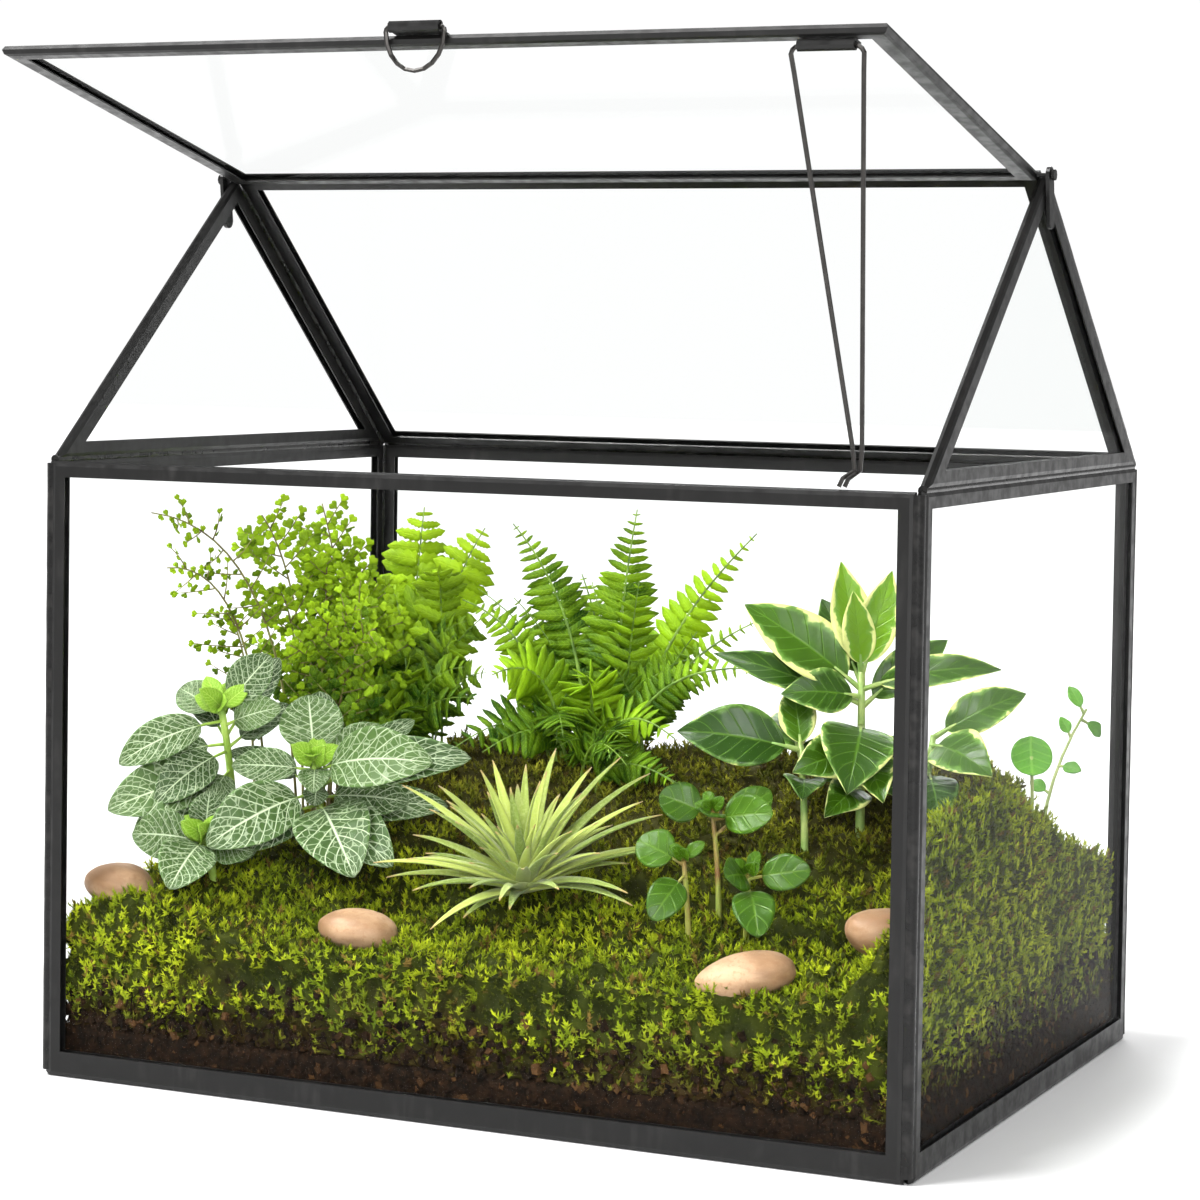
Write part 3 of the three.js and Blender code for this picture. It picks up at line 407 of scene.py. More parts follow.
def air_plant_finish():
    """Pale sage with a silver bloom, cream at the heart and dry at the tips."""
    f = Finish("silver_air_plant")
    along = f.attribute("along")
    tone = f.attribute("tone")
    bloom = f.noise(1300, 4)
    sage = f.blend(tone, (0.13, 0.19, 0.028), (0.4, 0.47, 0.1))
    sage = f.blend(f.smooth(bloom, 0.45, 0.7, 0.0, 0.25), sage, (0.48, 0.53, 0.24))
    heart = f.blend(f.smooth(along, 0.05, 0.45), (0.44, 0.5, 0.12), sage)
    colour = f.blend(f.smooth(along, 0.86, 1.0), heart, (0.36, 0.24, 0.1))
    return f.put(
        Base_Color=colour,
        Roughness=0.6,
        Specular_IOR_Level=0.15,
        Sheen_Weight=0.15,
        Sheen_Roughness=0.5,
        Normal=f.relief(bloom, 0.06),
    ).material


def stalk_finish(name, low, high):
    """A stalk's colour, clouded between two."""
    f = Finish(name)
    share = f.smooth(f.noise(140, 3), 0.3, 0.7)
    return f.put(
        Base_Color=f.blend(share, low, high),
        Roughness=0.5,
        Normal=f.relief(f.noise(1600, 2), 0.05),
    ).material


# ---------------------------------------------------------------- closed skins

def unit(v):
    v = np.asarray(v, float)
    return v / np.maximum(np.linalg.norm(v, axis=-1, keepdims=True), 1e-12)


def new_object(name, data):
    made = bpy.data.objects.new(name, data)
    bpy.context.scene.collection.objects.link(made)
    return made


def heading(turn):
    """The level way at an angle from +X."""
    return np.array([math.cos(turn), math.sin(turn), 0])


def keep_mark(mesh, key, values):
    """Keeps a number for each point of a mesh, for trees and finishes to read."""
    data = mesh.attributes.new(key, "FLOAT", "POINT").data
    data.foreach_set("value", np.asarray(values, np.float32))


def numbered(rows, columns):
    """The numbers of points in rows, and of the next point along each row, round to its start."""
    at = np.arange(rows * columns).reshape(rows, columns)
    return at, np.roll(at, -1, axis=1)


def rim_of(at):
    """The numbers round a grid's edge."""
    return np.concatenate([at[0, :-1], at[:-1, -1], at[-1, :0:-1], at[:0:-1, 0]])


def quads(*corners):
    """Four-sided faces, from the numbers of their corners."""
    return np.stack(corners, -1).reshape(-1, 4).tolist()


class Skin:
    """Collects closed surfaces in millimetres, each with its places across and along."""

    def __init__(self):
        self.points = []
        self.faces = []
        self.marks = {"across": [], "along": [], "tone": [], "tip": []}
        self.slots = []
        self.count = 0

    def add(self, points, faces, slot=0, **marks):
        points = np.asarray(points, float).reshape(-1, 3)
        self.points.append(points)
        self.faces += [[int(i) + self.count for i in face] for face in faces]
        self.slots += [slot] * len(faces)
        for key, kept in self.marks.items():
            kept.append(np.broadcast_to(marks.get(key, 0.0), len(points)))
        self.count += len(points)

    def sheet(self, grid, normals, thickness, **marks):
        """A grid of points (along, across) made solid, with a wall round its rim."""
        rows, columns = grid.shape[:2]
        half = np.asarray(thickness)[..., None] * normals / 2
        points = np.concatenate([(grid + half).reshape(-1, 3), (grid - half).reshape(-1, 3)])
        at, _ = numbered(rows, columns)
        a, b, c, d = at[:-1, :-1], at[1:, :-1], at[1:, 1:], at[:-1, 1:]
        back = rows * columns
        front_and_back = np.array([[a, b, c, d], [back + a, back + d, back + c, back + b]])
        faces = np.moveaxis(front_and_back, (0, 1), (2, 3)).reshape(-1, 4).tolist()
        rim = rim_of(at)
        on = np.roll(rim, -1)
        faces += quads(rim, on, back + on, back + rim)
        for key, value in marks.items():
            marks[key] = np.tile(np.broadcast_to(value, (rows, columns)).ravel(), 2)
        self.add(points, faces, **marks)

    def tube(self, points, radii, sides, slot, **marks):
        """A closed tube along the points, of a radius at each."""
        points = np.asarray(points, float)
        radii = np.broadcast_to(radii, len(points))
        along = unit(np.gradient(points, axis=0))
        side = unit(np.cross(along, [0.31, 0.87, 0.37]))
        other = np.cross(along, side)
        turn = np.linspace(0, 2 * math.pi, sides, endpoint=False)
        ring = side[:, None] * np.cos(turn)[:, None] + other[:, None] * np.sin(turn)[:, None]
        wall = points[:, None] + ring * radii[:, None, None]
        at, on = numbered(len(points), sides)
        faces = quads(at[:-1], on[:-1], on[1:], at[1:])
        faces += [at[0, ::-1].tolist(), at[-1].tolist()]
        share = np.repeat(np.linspace(0, 1, len(points)), sides)
        self.add(wall, faces, slot, **{"along": share, **marks})

    def object(self, name, materials, smooth=True, toned=True):
        """The mesh; one that is grown many times takes its tone from its place instead."""
        points = np.concatenate(self.points) * MM
        mesh = bpy.data.meshes.new(name)
        mesh.from_pydata(points.tolist(), [], self.faces)
        for key, kept in self.marks.items():
            if toned or key != "tone":
                keep_mark(mesh, key, np.concatenate(kept))
        for material in materials:
            mesh.materials.append(material)
        mesh.polygons.foreach_set("material_index", self.slots)
        mesh.polygons.foreach_set("use_smooth", [smooth] * len(self.faces))
        mesh.update()
        return new_object(name, mesh)


def dress(piece, slot, *nodes, body="house"):
    """Puts a finished piece on its body, in place of the nodes that it stands for."""
    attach(piece, body)
    if nodes:
        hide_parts(*nodes)
    return piece


# ---------------------------------------------------------------- runs and leaves

def run(base, crest, tip, light):
    """A blade's run over its crest; at given shares: places, ways on, faces and sides."""
    base, crest, tip = (np.asarray(p, float) for p in (base, crest, tip))

    def at(shares):
        t = np.atleast_1d(shares)[:, None]
        point = (1 - t) ** 2 * base + 2 * t * (1 - t) * crest + t * t * tip
        along = unit(2 * (1 - t) * (crest - base) + 2 * t * (tip - crest))
        face = unit(light - along * (along @ light)[:, None])
        return point, along, face, np.cross(face, along)

    return at


def bowed_run(base, tip, bow, light):
    """A run that bows towards the light by a share of its length."""
    base, tip = np.asarray(base, float), np.asarray(tip, float)
    reach = tip - base
    out = unit(light - reach * (light @ reach) / (reach @ reach))
    crest = base + reach * 0.55 + out * bow * np.linalg.norm(reach)
    return run(base, crest, tip, light)


# Half widths of leaves, by the share of the way from stalk to tip.

def oval(u):
    return np.maximum(0.02, np.sin(math.pi * u ** 0.8) ** 0.75)


def broad(u):
    return np.maximum(0.02, np.sin(math.pi * u ** 0.84) ** 0.6 * (1 - 0.12 * u ** 4))


def rounded(u):
    return np.maximum(0.03, np.sin(math.pi * u ** 0.85) ** 0.55)


def pointed(u):
    return np.maximum(0.015, np.sin(math.pi * u ** 0.72) ** 0.9)


def add_leaf(skin, base, tip, width, bow=0.22, *, tone, size, seed, stalk=0.2, fold=0.18,
             shape=oval, quilt=0.0, pairs=6.0, wave=0.3, stalk_radius=0.45):
    """A leaf on its stalk: folded at the midrib, puffed between the side veins."""
    at = bowed_run(base, tip, bow, LIGHT)
    rows, columns = size
    u = np.linspace(0, 1, rows)
    point, _, face, side = at(stalk + (1 - stalk) * u)
    half = width / 2 * shape(u)
    across = np.linspace(-1, 1, columns)
    out = np.abs(across)[None]
    lift = half[:, None] * fold * out ** 1.3
    ripple = np.sin(u[:, None] * 9 + across * 2.2 + seed * 1.7)
    lift = lift + wave * ripple * out ** 2 * shape(u)[:, None]
    puff = np.cos(2 * math.pi * (u[:, None] * pairs - out * 1.2)) * -1
    lift = lift + quilt * puff * np.sin(math.pi * out) * shape(u)[:, None]
    grid = point[:, None] + side[:, None] * (half[:, None] * across)[..., None]
    grid = grid + face[:, None] * lift[..., None]
    skin.sheet(grid, face[:, None], LEAF_THICKNESS, across=across, along=u[:, None], tone=tone)
    stem = at(np.linspace(0, stalk + (1 - stalk) * 0.12, 5))[0] - at(0.1)[2] * 0.15
    skin.tube(stem, np.linspace(1.2, 0.7, 5) * stalk_radius, 6, 1, tone=tone)


def stem_points(root, top):
    """A stem that leaves the moss upright and leans over to its top."""
    top = np.asarray(top, float)
    crest = np.array([root[0], root[1], (root[2] + top[2]) / 2])
    t = np.linspace(0, 1, 7)[:, None]
    return (1 - t) ** 2 * root + 2 * t * (1 - t) * crest + t * t * top


def leafy_stem(at, top, thick, thin, sides=8):
    """A skin with a stem from its foot in the moss to its top, and the stem's points."""
    skin = Skin()
    stem = stem_points(foot(*at), top)
    skin.tube(stem, np.linspace(thick, thin, len(stem)), sides, 1)
    return skin, stem


def share_of(points, share):
    """The place at a share of the way along the points."""
    place = share * (len(points) - 1)
    i = min(int(place), len(points) - 2)
    return points[i] + (points[i + 1] - points[i]) * (place - i)


# ---------------------------------------------------------------- the lie of the bed

def smooth(t):
    s = np.clip(t, 0, 1)
    return s * s * (3 - 2 * s)


def ground(x, y):
    """The height of the moss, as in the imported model."""
    bank = smooth((x - 100) / 22)
    front = 41 + 8 * smooth(1 - np.abs(x + 100) / 40) + 22 * bank
    low = front + (55 - front) * smooth((y + 93) / 90)
    rise = smooth((y + 93) / (130 - 95 * bank)) ** (2 - bank)
    fall = smooth((93 - y) / (60 + 70 * bank))
    return low + (84 + 2 * bank - low) * rise * fall * smooth((122 + x) / 75)


def tufts(x, y):
    """How far the moss stands over or under its mean height."""
    waves = np.sin(x * 0.45 + 1.3 * np.sin(y * 0.21)) * np.sin(y * 0.5 + 1.1 * np.sin(x * 0.27))
    return 1.5 * waves + 0.8 * np.sin(x * 0.23 + y * 0.31)


def soil_top(x, y):
    """The height of the soil, low at the panes and under the moss inside."""
    inward = np.minimum(BED_X - np.abs(x), BED_Y - np.abs(y))
    return SOIL_RIM + (ground(x, y) - MOSS_THICKNESS - SOIL_RIM) * smooth(inward / 20)


def foot(x, y):
    """Where a stem starts, down in the moss."""
    return np.array([x, y, float(ground(x, y)) - ROOT_DEPTH])


# ---------------------------------------------------------------- geometry trees

def geometry_tree(name, sockets):
    """A geometry tree with its named inputs; gives the graph and its input node."""
    tree = bpy.data.node_groups.new(name, "GeometryNodeTree")
    tree.interface.new_socket("Geometry", in_out="INPUT", socket_type="NodeSocketGeometry")
    for label, kind, value in sockets:
        socket = tree.interface.new_socket(label, in_out="INPUT", socket_type="NodeSocket" + kind)
        if value is not None:
            socket.default_value = value
    tree.interface.new_socket("Geometry", in_out="OUTPUT", socket_type="NodeSocketGeometry")
    return Growth(tree), tree.nodes.new("NodeGroupInput")


def close_tree(g, geometry, inputs):
    """Ends a tree: instances made real, the material set."""
    real = g.add("GeometryNodeRealizeInstances", {0: geometry})
    done = g.add("GeometryNodeSetMaterial", {0: real, "Material": inputs.outputs["Material"]})
    out = g.tree.nodes.new("NodeGroupOutput")
    g.tree.links.new(done, out.inputs[0])
    return g.tree


def grown(name, seedling, tree, **values):
    """Runs a tree on an object's mesh and gives the plain mesh it makes."""
    modifier = seedling.modifiers.new("grow", "NODES")
    modifier.node_group = tree
    for item in tree.interface.items_tree:
        if item.item_type == "SOCKET" and item.in_out == "INPUT" and item.name in values:
            modifier[item.identifier] = values[item.name]
    bpy.context.view_layer.update()
    depsgraph = bpy.context.evaluated_depsgraph_get()
    mesh = bpy.data.meshes.new_from_object(seedling.evaluated_get(depsgraph), depsgraph=depsgraph)
    seedling.modifiers.remove(modifier)
    mesh.name = name
    return new_object(name, mesh)


def growth_tree():
    """Sprigs scattered over a surface, leaning up from it, pressed flat by the panes."""
    g, inputs = geometry_tree("moss_growth", [
        ("Sprigs", "Collection", None),
        ("Density", "Float", 300000.0),
        ("Smallest", "Float", 0.7),
        ("Largest", "Float", 1.3),
        ("Upward", "Float", 0.8),
        ("Low X", "Float", -1.0),
        ("High X", "Float", 1.0),
        ("Pane X", "Float", 0.1212),
        ("Pane Y", "Float", 0.0912),
        ("Seed", "Int", 1),
        ("Material", "Material", None),
    ])
    port = inputs.outputs
    seed = port["Seed"]
    x, _, _ = g.axes(g.add("GeometryNodeInputPosition"))
    past = g.maths("GREATER_THAN", x, port["Low X"])
    inside = g.times(past, g.maths("LESS_THAN", x, port["High X"]))
    density = g.times(port["Density"], g.times(g.mark("grow"), inside))
    scatter = g.tree.nodes.new("GeometryNodeDistributePointsOnFaces")
    for key, value in (("Mesh", port["Geometry"]), ("Density", density), ("Seed", seed)):
        g.tree.links.new(value, scatter.inputs[key])
    upward = g.add("ShaderNodeCombineXYZ", {2: port["Upward"]})
    out = g.vector("ADD", scatter.outputs["Normal"], upward)
    lean = g.vector("ADD", out, g.stray(0.75, 0.75, 0.3, seed))
    stand = g.add("FunctionNodeAlignRotationToVector", {"Vector": lean}, axis="Z")
    spin = g.add("ShaderNodeCombineXYZ", {2: g.random(0.0, FULL_TURN, seed, 7)})
    turned = g.add("FunctionNodeRotateRotation", {0: stand, 1: spin}, rotation_space="LOCAL")
    taller_on_crests = g.smooth(g.mark("crest"), 0.0, 1.0, 0.7, 1.25)
    drawn = g.random(port["Smallest"], port["Largest"], seed, 3)
    kinds = {"Collection": port["Sprigs"], "Separate Children": True, "Reset Children": True}
    placed = g.add("GeometryNodeInstanceOnPoints", {
        "Points": scatter.outputs["Points"],
        "Instance": g.add("GeometryNodeCollectionInfo", kinds),
        "Pick Instance": True,
        "Rotation": turned,
        "Scale": g.times(drawn, taller_on_crests),
    })
    toned = g.keep_tone(placed, g.random(0.0, 1.0, seed, 5))
    real = g.add("GeometryNodeRealizeInstances", {0: toned})
    x, y, z = g.axes(g.add("GeometryNodeInputPosition"))

    def pressed(value, limit):
        """What reaches past a pane's inner face is folded back to it."""
        far = g.maths("ABSOLUTE", value)
        over = g.maths("MAXIMUM", g.minus(far, limit), 0.0)
        give = g.times(over, 0.85)
        return g.minus(value, g.times(give, g.maths("SIGN", value)))

    place = g.add("ShaderNodeCombineXYZ", {
        0: pressed(x, port["Pane X"]),
        1: pressed(y, port["Pane Y"]),
        2: g.maths("MAXIMUM", z, LOWEST * MM),
    })
    flat = g.add("GeometryNodeSetPosition", {"Geometry": real, "Position": place})
    return close_tree(g, flat, inputs)


def foliage_tree():
    """One leaflet on every point, laid out by the point's own marks."""
    g, inputs = geometry_tree("leaflets", [
        ("Leaflet", "Object", None),
        ("Size", "Float", 1.0),
        ("Fatness", "Float", 1.0),
        ("Spread", "Float", 0.1),
        ("Seed", "Int", 1),
        ("Material", "Material", None),
    ])
    port = inputs.outputs
    seed = port["Seed"]
    shake = {0: g.stray(1, 1, 1, seed), "Scale": port["Spread"]}
    shaken = g.add("ShaderNodeVectorMath", shake, operation="SCALE")
    way = g.vector("ADD", g.mark("way", "FLOAT_VECTOR"), shaken)
    ports = {0: way, 1: g.mark("facing", "FLOAT_VECTOR")}
    axes = g.add("FunctionNodeAxesToRotation", ports, primary_axis="X", secondary_axis="Z")
    size = g.times(g.mark("size"), port["Size"])
    wide = g.times(size, port["Fatness"])
    placed = g.add("GeometryNodeInstanceOnPoints", {
        "Points": g.add("GeometryNodeMeshToPoints", {0: port["Geometry"]}),
        "Instance": g.add("GeometryNodeObjectInfo", {"Object": port["Leaflet"]}, out="Geometry"),
        "Rotation": axes,
        "Scale": g.add("ShaderNodeCombineXYZ", {0: size, 1: wide, 2: size}),
    })
    shade = g.plus(g.mark("tone"), g.random(-0.22, 0.22, seed, 5), clamp=True)
    toned = g.keep_tone(placed, shade)
    return close_tree(g, toned, inputs)


def bead_tree():
    """A round bead drawn along the edges of a wire mesh, a little uneven."""
    g, inputs = geometry_tree("solder_bead", [
        ("Radius", "Float", 0.0018),
        ("Unevenness", "Float", 0.15),
        ("Pitch", "Float", 0.003),
        ("Sides", "Int", 14),
        ("Material", "Material", None),
    ])
    port = inputs.outputs
    curve = g.add("GeometryNodeMeshToCurve", {0: port["Geometry"]})
    ports = {"Curve": curve, "Length": port["Pitch"]}
    even = g.add("GeometryNodeResampleCurve", ports, mode="LENGTH")
    ring = {"Resolution": port["Sides"], "Radius": port["Radius"]}
    circle = g.add("GeometryNodeCurvePrimitiveCircle", ring)
    profile = {"Curve": even, "Profile Curve": circle, "Fill Caps": True}
    bead = g.add("GeometryNodeCurveToMesh", profile)
    place = g.add("GeometryNodeInputPosition")
    ripple = g.add("ShaderNodeTexNoise", {"Vector": place, "Scale": 110.0, "Detail": 2.0})
    reach = g.times(port["Unevenness"], port["Radius"])
    swing = g.times(g.minus(ripple, 0.7), reach)
    out = {0: g.add("GeometryNodeInputNormal"), "Scale": swing}
    move = g.add("ShaderNodeVectorMath", out, operation="SCALE")
    bead = g.add("GeometryNodeSetPosition", {"Geometry": bead, "Offset": move})
    even_shade = g.add("GeometryNodeSetShadeSmooth", {"Geometry": bead, "Shade Smooth": True})
    return close_tree(g, even_shade, inputs)


def wire_mesh(name, paths, **marks):
    """Edges along the paths, in millimetres, to grow things on."""
    points, edges = [], []
    for path in paths:
        first = len(points)
        points += [tuple(np.asarray(p) * MM) for p in path]
        edges += [(first + i, first + i + 1) for i in range(len(path) - 1)]
    mesh = bpy.data.meshes.new(name)
    mesh.from_pydata(points, edges, [])
    for key, (kind, values) in marks.items():
        data = mesh.attributes.new(key, kind, "POINT").data
        values = np.asarray(values, np.float32).ravel()
        data.foreach_set("vector" if kind == "FLOAT_VECTOR" else "value", values)
    return new_object(name, mesh)


def discard(*objects):
    for thing in objects:
        bpy.data.objects.remove(thing)


GROWTH = growth_tree()
FOLIAGE = foliage_tree()
BEADS = bead_tree()


# ---------------------------------------------------------------- frame, wires and panes

def dress_frame():
    """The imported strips, wires and panes keep their shapes and get their finishes."""
    finishes = {"black_strip": charcoal_metal(), "dark_wire": dark_wire(), "clear_glass": clear_glass()}
    for name, node in frame["nodes"].items():
        kind = None
        if name.endswith(("_strip", "_strap", "_clip")) or name == "floor_plate":
            kind = "black_strip"
        elif name.endswith("_glass"):
            kind = "clear_glass"
        elif name in ("pull_ring", "prop_wire"):
            kind = "dark_wire"
        if kind:
            node.data.materials.clear()
            node.data.materials.append(finishes[kind])


def add_solder():
    """Beads of blackened solder in the corners where the panes' strips meet."""
    metal = solder_metal()
    post_x, post_y = 123.15, 93.15
    foot_of_post, middle, head_of_post = 1.6, 84, 166.6
    posts = [
        [(right * post_x, back * post_y, z) for z in (foot_of_post, middle, head_of_post)]
        for right in (-1, 1) for back in (-1, 1)
    ]
    slope = math.atan2(ROOF_RISE, ROOF_RUN)
    down = np.array([0, math.cos(slope), -math.sin(slope)])
    sunk = np.array([0, -math.sin(slope), -math.cos(slope)]) * 0.45
    rafters = []
    for side in (-1, 1):
        top = np.array([side * post_x, 1.8, 246.4])
        low = np.array([side * post_x, 92.4, 168.2])
        rafters.append([top + down * 1.5 + sunk, (top + low) / 2 + sunk, low + sunk])
    add_beads("corner_solder", posts + rafters, 1.8, metal)
    seams = [[(side * PANE_X, y, EAVE) for y in (-92.0, 0, 91.5)] for side in (-1, 1)]
    seams.append([(x, 93.5, EAVE + 0.1) for x in (-121.0, 0, 121.0)])
    add_beads("eave_solder", seams, 1.25, metal)


def add_beads(name, lines, radius, metal):
    """A round bead along each line."""
    wires = wire_mesh(name + "_lines", lines)
    dress(grown(name, wires, BEADS, Radius=radius * MM, Material=metal), "black_strip")
    discard(wires)


# ---------------------------------------------------------------- planting bed

def bed_block(name, material, top, bottom, spacing, inset, wall_rows, roughen):
    """A closed slab between two heights, its walls divided and roughened."""
    columns = int(2 * (BED_X - inset) / spacing)
    rows = int(2 * (BED_Y - inset) / spacing)
    xs = np.linspace(-BED_X + inset, BED_X - inset, columns + 1)
    ys = np.linspace(-BED_Y + inset, BED_Y - inset, rows + 1)
    x, y = np.meshgrid(xs, ys)
    high, low = top(x, y), bottom(x, y)
    count = x.size
    points = [np.stack([x, y, high], -1).reshape(-1, 3), np.stack([x, y, low], -1).reshape(-1, 3)]
    at, _ = numbered(*x.shape)
    a, b, c, d = at[:-1, :-1], at[:-1, 1:], at[1:, 1:], at[1:, :-1]
    faces = quads(a, b, c, d) + quads(a + count, d + count, c + count, b + count)
    rim = rim_of(at)
    upper, lower = points[0][rim], points[1][rim]
    layers = [rim]
    for k in range(1, wall_rows):
        share = k / wall_rows
        points.append(upper * (1 - share) + lower * share)
        layers.append(2 * count + (k - 1) * len(rim) + np.arange(len(rim)))
    layers.append(rim + count)
    for above, below in zip(layers, layers[1:]):
        faces += quads(below, np.roll(below, -1), np.roll(above, -1), above)
    points = np.concatenate(points)
    grow = np.ones(len(points))
    grow[count:2 * count] = 0
    grow[rim + count] = 0.15
    points = points + roughen(points) * (grow > 0)[:, None]
    skin = Skin()
    # The bed's own surface gets a low tip mark, so the moss finish paints it dark as shade under the
    # sprigs.
    skin.add(points, faces, tone=0.5, tip=0.12)
    made = skin.object(name, [material])
    # The crest mark is low in the hollows between cushions, where the moss finish paints shade; sprigs
    # also grow taller on the crests.
    keep_mark(made.data, "crest", smooth(0.5 + cushions(points, 1.1) + 0.35 * swells(points, 1.0)))
    to_wall = np.abs(points[:, :2]) / (BED_X - inset, BED_Y - inset)
    sparse = 0.25 + 0.75 * smooth((points[:, 2] - 5) / 20)
    keep_mark(made.data, "grow", np.where(to_wall.max(axis=1) > 0.985, grow * sparse, grow))
    return made


def lumps(points, size, depth, seed):
    """A smooth wandering value at each point, between -depth and depth."""
    rng = np.random.default_rng(seed)
    total = np.zeros(len(points))
    for octave in range(4):
        for _ in range(4):
            way = unit(rng.normal(size=3)) * (2 * math.pi / size) * 1.9 ** octave
            total += np.sin(points @ way + rng.uniform(0, 6.28)) * 0.5 ** octave
    return total * depth / 4


def swells(points, depth):
    """The moss's broad waves."""
    return lumps(points, 24, depth, 3)


def cushions(points, depth):
    """The rounded cushions that moss grows in."""
    return lumps(points, 8.5, depth, 12)


def rough_moss(points):
    """The moss's surface moves up and down on top, and inward at the walls."""
    rise = swells(points, 2.4) + cushions(points, 2.0)
    inward = 0.4 + 2.2 * (1 - smooth(0.5 + cushions(points, 1.1)))
    at_wall = np.abs(points[:, :2]) / (BED_X, BED_Y) > 0.975
    move = np.zeros_like(points)
    move[:, :2] = np.where(at_wall, -np.sign(points[:, :2]) * inward[:, None], 0)
    move[:, 2] = np.where(at_wall.any(axis=1), rise * 0.25, rise)
    return move


def add_kind(kinds, name, skin, material):
    """Adds a shape that grows in many places, and takes its tone from each."""
    made = skin.object(name, [material], smooth=False, toned=False)
    bpy.context.scene.collection.objects.unlink(made)
    kinds.objects.link(made)


def sprig_collection(material):
    """A few sprigs of moss: a bent stem with small leaves all round it."""
    kinds = bpy.data.collections.new("sprigs")
    rng = np.random.default_rng(11)
    for k in range(5):
        skin = Skin()
        height = rng.uniform(1.7, 3.0)
        bend = rng.uniform(0.6, 1.6) * heading(k * GOLDEN_TURN)
        leaves = 6
        for i in range(leaves):
            share = 0.15 + 0.8 * i / leaves
            base = UP * height * share + bend * share * share
            out = heading(i * GOLDEN_TURN + k)
            way = unit(out * (0.95 - 0.5 * share) + UP * (0.45 + 0.5 * share))
            length = rng.uniform(1.1, 1.9) * (1.15 - 0.5 * share)
            side = unit(np.cross(way, UP)) * 0.33
            lift = unit(np.cross(side, way)) * 0.12
            tip = base + way * length + UP * 0.1
            points = [base - side - lift, base + side - lift, base + lift, tip]
            faces = [[2, 1, 0], [0, 1, 3], [1, 2, 3], [2, 0, 3]]
            # The tip mark rises from each leaf's base to its tip; the moss finish paints low marks
            # dark, partly as the stems' own colour and partly as shade.
            skin.add(points, faces, tip=[0.25 + 0.5 * share] * 3 + [1.0])
        stem = [[0, 0, -1.0], bend * 0.25 + UP * height * 0.5, bend + UP * (height + 0.6)]
        skin.tube(stem, [0.28, 0.2, 0.05], 3, 0, tip=[0.0] * 3 + [0.4] * 3 + [1.0] * 3)
        add_kind(kinds, "sprig%d" % k, skin, material)
    bpy.context.scene.collection.children.link(kinds)
    return kinds


def crumb_collection(material):
    """Crumbs of soil: lumpy little solids and bits of root."""
    kinds = bpy.data.collections.new("crumbs")
    rng = np.random.default_rng(5)
    corner = np.array([(x, y, z) for x in (-1, 1) for y in (-1, 1) for z in (-1, 1)], float)
    sides = [[0, 1, 3, 2], [4, 6, 7, 5], [0, 4, 5, 1], [2, 3, 7, 6], [0, 2, 6, 4], [1, 5, 7, 3]]
    half_sizes = [(0.9, 0.7, 0.6), (0.6, 0.6, 0.5), (1.2, 0.8, 0.6), (2.3, 0.16, 0.16)]
    for k, half_size in enumerate(half_sizes):
        skin = Skin()
        skin.add(corner * half_size * rng.uniform(0.6, 1.1, (8, 3)), sides, tip=0.5)
        add_kind(kinds, "crumb%d" % k, skin, material)
    bpy.context.scene.collection.children.link(kinds)
    return kinds


def clear_collection(kinds):
    for thing in list(kinds.objects):
        bpy.data.objects.remove(thing)
    bpy.data.collections.remove(kinds)


def moss_top(x, y):
    return ground(x, y) + tufts(x, y) - SPRIG_ROOM


def moss_underside(x, y):
    """Just clear of the soil."""
    return soil_top(x, y) + 0.3


def soil_underside(x, y):
    return np.full_like(x, SOIL_BOTTOM)


# Where one piece of sprigs ends and the next starts, so that no piece grows too heavy.
SPRIG_SEAMS = [-2 * BED_X, -106, -71, -36, 0, 37, 75, 113, 2 * BED_X]


def add_bed():
    """Soil, the moss on it, sprigs all over the moss, and crumbs down the soil's sides."""
    moss, soil = moss_finish(), soil_finish()
    bed = bed_block("moss_bed", moss, moss_top, moss_underside,
                    spacing=2.0, inset=0.7, wall_rows=24, roughen=rough_moss)
    dress(bed, "moss", "moss")
    earth = bed_block("soil_bed", soil, soil_top, soil_underside,
                      spacing=3.0, inset=0.8, wall_rows=6, roughen=np.zeros_like)
    dress(earth, "soil", "soil")
    sprigs = sprig_collection(moss)
    for k, (low, high) in enumerate(zip(SPRIG_SEAMS, SPRIG_SEAMS[1:])):
        band = {"Low X": low * MM, "High X": high * MM}
        tuft = grown("moss_sprigs_%d" % (k + 1), bed, GROWTH, Sprigs=sprigs, Seed=20 + k,
                     Density=320000.0, Smallest=0.55, Largest=1.15, Material=moss, **band)
        dress(tuft, "moss")
    clear_collection(sprigs)
    crumbs = crumb_collection(soil)
    rim = soil_rim()
    loose = grown("soil_crumbs", rim, GROWTH, Sprigs=crumbs, Seed=3, Density=420000.0,
                  Smallest=0.6, Largest=2.0, Upward=0.1, Material=soil)
    dress(loose, "soil")
    discard(rim)
    clear_collection(crumbs)


def soil_rim():
    """The band of the bed's four sides where loose soil shows behind the glass."""
    x, y = BED_X - 1.0, BED_Y - 1.0
    loop = [(-x, -y), (x, -y), (x, y), (-x, y)]
    steps, heights = 60, (LOWEST, 10, 17, 24, 31)
    skin = Skin()
    for (ax, ay), (bx, by) in zip(loop, loop[1:] + loop[:1]):
        shares = [k / steps for k in range(steps + 1)]
        stops = [(ax + (bx - ax) * share, ay + (by - ay) * share) for share in shares]
        for p, q in zip(stops, stops[1:]):
            for low, high in zip(heights, heights[1:]):
                skin.add([(*p, low), (*q, low), (*q, high), (*p, high)], [[0, 1, 2, 3]], tone=0.5)
    made = skin.object("rim", [])
    z = np.concatenate(skin.points)[:, 2]
    keep_mark(made.data, "grow", 1 - smooth((z - 12) / 20))
    return made


# Each pebble: x, y, half sizes, turn and tilt in degrees.
PEBBLES = {
    "pebble_left": (-111, -78, (9.5, 8, 6), 20, 8),
    "pebble_middle": (-37, -77, (11, 8, 5.6), 10, 5),
    "pebble_front": (76, -82, (13, 8, 5.8), 28, -10),
    "pebble_right": (108, -65, (12, 8.5, 7), 40, 12),
}


